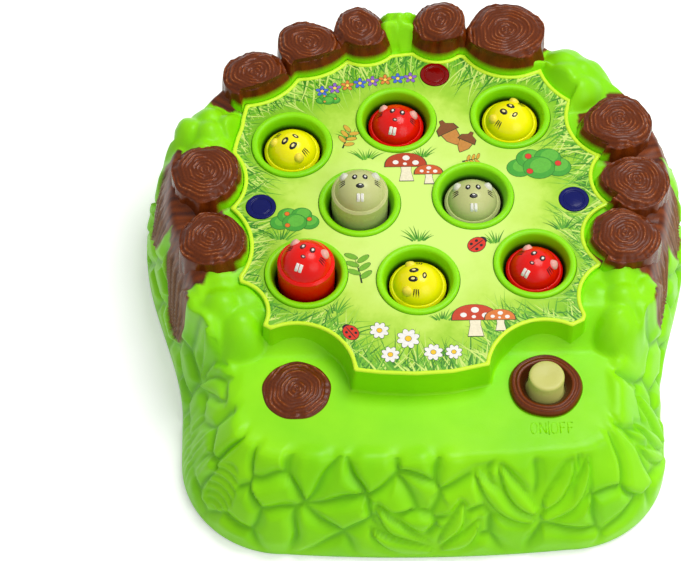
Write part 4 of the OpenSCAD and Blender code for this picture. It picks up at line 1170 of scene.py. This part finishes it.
def button():
    """A round push button with a soft edge and a hollowed thumb rest, on its flange and core."""
    low, high = box_mm("power_button")
    flange_r = (high[0] - low[0]) / 2
    flange = ledge_z - wall - 0.3
    core_r, cap_r, rest_r = 3, 8.9, 5.5
    foot = [(0, low[2]), (core_r, low[2]), (core_r, flange - 2), (flange_r, flange - 2), (flange_r, flange)]
    cap = [(cap_r, flange), (cap_r - 0.2, high[2]), (rest_r, high[2]), (0.5, high[2] - 0.35)]
    profile = foot + [(cap_r, flange)] + rounded(cap, 1.7, 6)[1:] + [(0, high[2] - 0.36)]
    points, faces = lathe(profile, button_at, 56)
    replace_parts(piece("button_cap", points, faces, LOOKS["button_khaki"], "power_button", "button_khaki"),
                "power_button")


button()


# Springs

def spring(node, wire_r, turns):
    """A round-wire coil in the node's own place."""
    low, high = box_mm(node)
    middle = (low + high) / 2
    coil_r = (high[0] - low[0]) / 2 - wire_r
    steps, sides = 28, 10
    a = np.linspace(0, 2 * np.pi * turns, steps * turns + 1)[:, None]
    b = circle(sides)
    reach = coil_r + wire_r * np.cos(b)
    level = low[2] + wire_r + (high[2] - low[2] - 2 * wire_r) * a / a[-1] - wire_r * np.sin(b)
    points = np.stack([middle[0] + reach * np.cos(a), middle[1] + reach * np.sin(a), level], -1).reshape(-1, 3)
    last = len(points) - sides
    faces = grid_faces(len(a), sides).tolist() + [range(sides)[::-1], range(last, last + sides)]
    coil = piece(node + "_coil", points, faces, LOOKS[SLOT_OF[node]], None, SLOT_OF[node])
    foot, head = (np.append(middle[:2], z) * MM for z in (low[2], high[2]))
    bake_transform(coil)
    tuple(foot)
    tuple(head)
    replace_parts(coil, node)


for name in MOLES:
    spring("mole_spring_" + name, wire_r=0.6, turns=6)
spring("button_spring", wire_r=0.4, turns=6)


# Raised ON and OFF beside the button

LETTERS = {
    "O": [[(0.9, 0), (0.2, 0.8), (0, 2), (0, 4), (0.2, 5.2), (0.9, 6), (2.1, 6), (2.8, 5.2), (3, 4), (3, 2),
           (2.8, 0.8), (2.1, 0), (0.9, 0)]],
    "N": [[(0, 0), (0, 6)], [(0.3, 5.8), (2.7, 0.2)], [(3, 0), (3, 6)]],
    "I": [[(0, -0.6), (0, 6.6)]],
    "F": [[(0, 0), (0, 6), (2.4, 6)], [(0, 3.2), (2, 3.2)]],
}
letter_gap = 1.3
stroke_half = 0.45
stroke_h = 0.2
words_at = (50.7, -107.3)


def ridge(points, half, height, z):
    """A raised stroke along a line, narrower on top, with tapered ends."""
    way = np.gradient(points, axis=0)
    if np.allclose(points[0], points[-1]):
        way[0] = way[-1] = way[0] + way[-1]
    way /= norm(way, axis=1)[:, None]
    side = left_of(way)
    rows = []
    for out, up in ((half, -0.05), (0.45 * half, height), (-0.45 * half, height), (-half, -0.05)):
        rows.append(raised(points + side * out, z + up))
    count = len(points)
    ends = [[k * count + i for k in order] for i, order in ((0, (0, 1, 2, 3)), (count - 1, (3, 2, 1, 0)))]
    return np.vstack(rows), grid_faces(4, len(points), closed=False)[:, ::-1].tolist() + ends


def switch_words():
    verts, faces = [], []
    x, y = words_at
    for letter in "ONIOFF":
        for stroke in LETTERS[letter]:
            points, more = ridge(np.add(stroke, (x, y)), stroke_half, stroke_h, ledge_z)
            faces += [[len(verts) + i for i in f] for f in more]
            verts += points.tolist()
        x += max(u for stroke in LETTERS[letter] for u, _ in stroke) + letter_gap
    casing_piece("switch_words", verts, faces)


switch_words()


# Print on the field: grass round the edge, and plants of the clearing

GREENS = [srgb(62, 138, 30), srgb(92, 170, 40), srgb(122, 194, 48), srgb(172, 224, 84), srgb(214, 240, 120)]
INK = srgb(34, 60, 20)
COVERED = [(at, ring_r) for at in MOLE_AT.values()] + [(middle_of(node), lens_r) for node in LENSES]
art = Paint()


def layer_z(layer):
    return field_z + 0.02 + 0.008 * layer


def flat(points, colour, layer):
    """A patch of ink; a higher layer lies over a lower one."""
    z = layer_z(layer)
    art.fan(raised(points, z), [*np.mean(points, axis=0), z], colour)


def inked(points, colour, layer, line=0.4, ink=INK):
    """A patch with a dark line round it."""
    points = np.asarray(points, float)
    middle = points.mean(0)
    size = norm(points - middle, axis=1).mean()
    flat(middle + (points - middle) * (1 + line / size), ink, layer)
    flat(points, colour, layer + 1)


def clear(points):
    """Whether no point lies under a collar or a lens."""
    return all(norm(points - at, axis=1).min() > r + 0.4 for at, r in COVERED)


def blade(foot, turn, length, width, bend, colour, layer):
    """A tapering grass blade, left out or cut short where it would run under a collar."""
    t = np.linspace(0, 1, 5)
    way = ways(turn)
    side = left_of(way)
    for share in (1, 0.7, 0.45):
        line = np.add(foot, np.outer(t, way * length * share)) + np.outer(t * t, side * bend * length * share)
        if clear(line):
            half = np.outer(width / 2 * (1 - t ** 1.5), side)
            rim = np.vstack([line + half, (line - half)[::-1]])
            art.add(raised(rim, layer_z(layer)), [(k, 9 - k, 8 - k, k + 1) for k in range(4)], colour)
            return


def border_grass():
    """Blades that lean in from the field's edge."""
    angles = circle(2000)
    for k, (angle, foot) in enumerate(zip(angles, field_edge(angles, bead_w + 0.1))):
        r = [hash_noise(k, seed) for seed in range(31, 37)]
        turn = angle + math.pi + 1.7 * (r[0] - 0.5)
        tone = GREENS[int(len(GREENS) * r[1])]
        length = 6 + 20 * r[2] ** 2
        width = 0.6 + 0.6 * r[3]
        blade(foot, turn, length, width, 0.5 * (r[4] - 0.5), tone, 10 * r[5])


def tuft(at, size, seed):
    for k in range(11):
        r = [hash_noise(k, seed + i) for i in range(3)]
        lean = (k - 5) / 5
        foot = np.add(at, (0.32 * size * lean, 0.15 * size * (r[0] - 0.5)))
        length = size * (0.6 + 0.5 * r[1])
        blade(foot, math.pi / 2 - 0.75 * lean, length, 0.9, -0.3 * lean, GREENS[int(2.6 * r[2])], 10.5 + 0.1 * k)


def flower(at, size, petals, colour, middle):
    for k, turn in enumerate(circle(petals) + 0.3):
        out = placed([(0.62, 0)], at, turn, size)[0]
        inked(oval(out, (size * 0.42, size * 0.27), turn, 12), colour, 12 + 0.12 * k, 0.22)
    inked(oval(at, (size * 0.28, size * 0.28), 0, 12), middle, 15, 0.2)


def toadstool(at, size, cap, layer=12):
    x, y = at
    stem = [(-0.2, 0), (0.22, 0), (0.15, 0.35), (0.17, 0.62), (-0.15, 0.62), (-0.13, 0.35)]
    inked(placed(stem, at, 0, size), srgb(250, 240, 206), layer)
    a = np.linspace(0, math.pi, 14)
    dome = np.column_stack([x + 0.62 * size * np.cos(a), y + size * (0.52 + 0.5 * np.sin(a) ** 0.8)])
    inked(dome, cap, layer + 3)
    for u, v, r in ((-0.3, 0.68, 0.09), (0.02, 0.84, 0.11), (0.3, 0.66, 0.1), (-0.02, 0.62, 0.06)):
        flat(oval((x + u * size, y + v * size), (r * size, r * size * 0.85), 0, 12), WHITE, layer + 6)


def bush(at, size, berry):
    balls = [(-0.62, 0, 0.4), (0.6, 0.02, 0.42), (-0.28, 0.36, 0.42), (0.3, 0.38, 0.42), (0, 0, 0.5)]
    for n, (u, v, r) in enumerate(balls):
        middle = np.add(at, (u * size, v * size))
        layer = 11.5 + 0.5 * n
        flat(oval(middle, (r * size + 0.3, r * size * 0.85 + 0.3)), srgb(44, 122, 34), layer)
        flat(oval(middle, (r * size, r * size * 0.85)), srgb(70, 168, 50), layer + 0.15)
        shine = oval(middle + [0.06 * size, 0.08 * size], (r * size * 0.7, r * size * 0.58), 0.4)
        flat(shine, srgb(100, 190, 60), layer + 0.3)
    for n in range(6):
        turn = 2.1 * n
        spot = np.add(at, (0.62 * size * math.cos(turn), 0.16 * size + 0.34 * size * math.sin(turn)))
        inked(oval(spot, (0.1 * size, 0.1 * size), 0, 10), berry, 16 + 0.15 * n, 0.2)


def ladybird(at, size, turn):
    spots = [(0.25, 0.3), (0.25, -0.3), (-0.3, 0.34), (-0.3, -0.34)]
    head, middle, *spots = placed([(0.72, 0), (0, 0), *spots], at, turn, size)
    flat(oval(head, (0.3 * size, 0.36 * size), turn, 14), BLACK, 12)
    inked(oval(middle, (0.8 * size, 0.66 * size), turn), srgb(226, 52, 26), 14, 0.3, BLACK)
    flat(oval(middle, (0.78 * size, 0.05 * size), turn, 10), BLACK, 17.5)
    for spot in spots:
        flat(oval(spot, (0.15 * size, 0.13 * size), turn, 10), BLACK, 17)


def acorn(at, size, turn):
    nut = [(-0.42, 0.1), (-0.36, -0.4), (-0.12, -0.74), (0, -0.86), (0.12, -0.74), (0.36, -0.4), (0.42, 0.1)]
    cup = [(-0.54, 0.06), (0.54, 0.06), (0.46, 0.4), (0.14, 0.58), (0.1, 0.8), (-0.08, 0.8), (-0.14, 0.58),
           (-0.46, 0.4)]
    inked(placed(nut, at, turn, size), srgb(206, 140, 62), 12)
    inked(placed(cup, at, turn, size), srgb(134, 78, 34), 15)


def sprig(at, size, turn, colour):
    way = ways(turn)
    side = left_of(way)
    blade(at, turn, size, 0.9, 0.1, INK, 11)
    for k in range(6):
        hand = 1 if k % 2 else -1
        foot = np.add(at, way * size * (0.18 + 0.14 * k))
        leaf = foot + (way * 0.55 + side * hand) * size * 0.17
        inked(oval(leaf, (size * 0.2, size * 0.085), turn + hand * 1.05, 14), colour, 12 + 0.1 * k, 0.22)


border_grass()
for n, (place, size) in enumerate((((-1, -4), 9), ((-44, -46), 11), ((9, -51), 10), ((38, -6), 8), ((-70, -2), 10),
                                   ((68, 44), 10), ((2, 48), 8), ((-33, 60), 8), ((-26, 47), 9), ((72, 2), 9))):
    tuft(place, size, 50 + 3 * n)
for k in range(8):
    flower((-48 + 6.6 * k, 91 + 2 * k - 0.12 * k * k), 3.3, 5,
           (srgb(82, 112, 216), srgb(150, 104, 204), srgb(236, 140, 60))[k % 3], srgb(255, 232, 90))
bush((-63, 8), 12, srgb(240, 120, 30))
bush((62, 40), 16, srgb(228, 60, 40))
bush((-45, 85), 6, srgb(236, 170, 60))
toadstool((-6, 33), 17, srgb(190, 66, 28))
toadstool((5.5, 31), 11.5, srgb(214, 96, 40), 19)
toadstool((25, -61), 18, srgb(206, 66, 28))
toadstool((37.5, -58), 12, srgb(226, 124, 46), 19)
acorn((17, 63), 10.5, 0.5)
acorn((25.5, 57), 8.5, -0.5)
ladybird((28, -7), 6, 0.7)
ladybird((-36, -58), 5.5, 2.2)
sprig((-30, -29), 17, 1.7, srgb(120, 186, 46))
sprig((-38, 54), 13, 1.2, srgb(226, 178, 60))
sprig((23, 44.5), 9, 0.2, srgb(222, 170, 54))
for place, size in (((-8, -62), 5.5), ((4, -70), 4.6), ((-17, -71), 4.4), ((-22, -57), 4.6), ((14, -70), 4)):
    flower(place, size, 8, WHITE, srgb(255, 206, 40))
art.made("print_art", painted("print_ink", 0.34), "casing", "print_sheet")


# Stage, light and camera

def aimed(name, data, at, direction):
    """A lamp or camera at a place in metres, looking along a direction."""
    obj = bpy.data.objects.new(name, data)
    bpy.context.scene.collection.objects.link(obj)
    x, y, z = direction / norm(direction)
    obj.location = at
    obj.rotation_euler = (math.acos(-z), 0, math.atan2(-x, y))
    return obj


def lamp(name, at, size, power):
    """A round soft lamp that shines at the toy's middle."""
    data = bpy.data.lights.new(name, "AREA")
    data.shape = "DISK"
    data.size = size
    data.energy = power
    aimed(name, data, at, np.subtract((0, 0, 0.05), at))


def stage():
    """White paper that shows brighter than it lights the toy."""
    glow = 0.35
    look = Look("floor_paper", Roughness=0.9, Emission_Color=(1, 1, 1, 1))
    look.set("Emission Strength", look.maths("MULTIPLY", look.shown(), glow))
    cloudy = look.ramp(look.noise(60), 0.3, 0.7)
    look.set("Base Color", look.mix(cloudy, srgb(251, 251, 251), srgb(253, 253, 253)))
    reach = 3 / MM
    corners = [(-reach, -reach, 0), (reach, -reach, 0), (reach, reach, 0), (-reach, reach, 0)]
    floor = mesh_object("floor", corners, [(0, 1, 2, 3)], look.material)


def world_light():
    """White surroundings that light the toy less than they show."""
    world = bpy.data.worlds.new("studio")
    bpy.context.scene.world = world
    world.use_nodes = True
    nodes = Nodes(world.node_tree)
    white = (1, 1, 1, 1)
    lit, seen = (nodes.add("ShaderNodeBackground", Color=white, Strength=s).outputs[0] for s in (0.37, 1.0))
    mixed = nodes.add("ShaderNodeMixShader", _0=nodes.shown(), _1=lit, _2=seen)
    nodes.add("ShaderNodeOutputWorld", Surface=mixed.outputs[0])


def camera():
    azimuth, elevation = math.radians(-1), math.radians(56.525)
    distance = 1.3232
    aim = np.array([-0.0402, -0.0088, 0.040])
    back = np.array([math.sin(azimuth) * math.cos(elevation), -math.cos(azimuth) * math.cos(elevation),
                     math.sin(elevation)])
    data = bpy.data.cameras.new("camera")
    data.sensor_width = 36
    data.lens = 137.44
    bpy.context.scene.camera = aimed("camera", data, aim + back * distance, -back)


stage()
world_light()
lamp("key", (0.4, 0.3, 1.3), 0.7, 11)
lamp("fill", (0.7, -0.7, 0.9), 0.9, 4.5)
camera()
bpy.context.scene.view_settings.view_transform = "Standard"
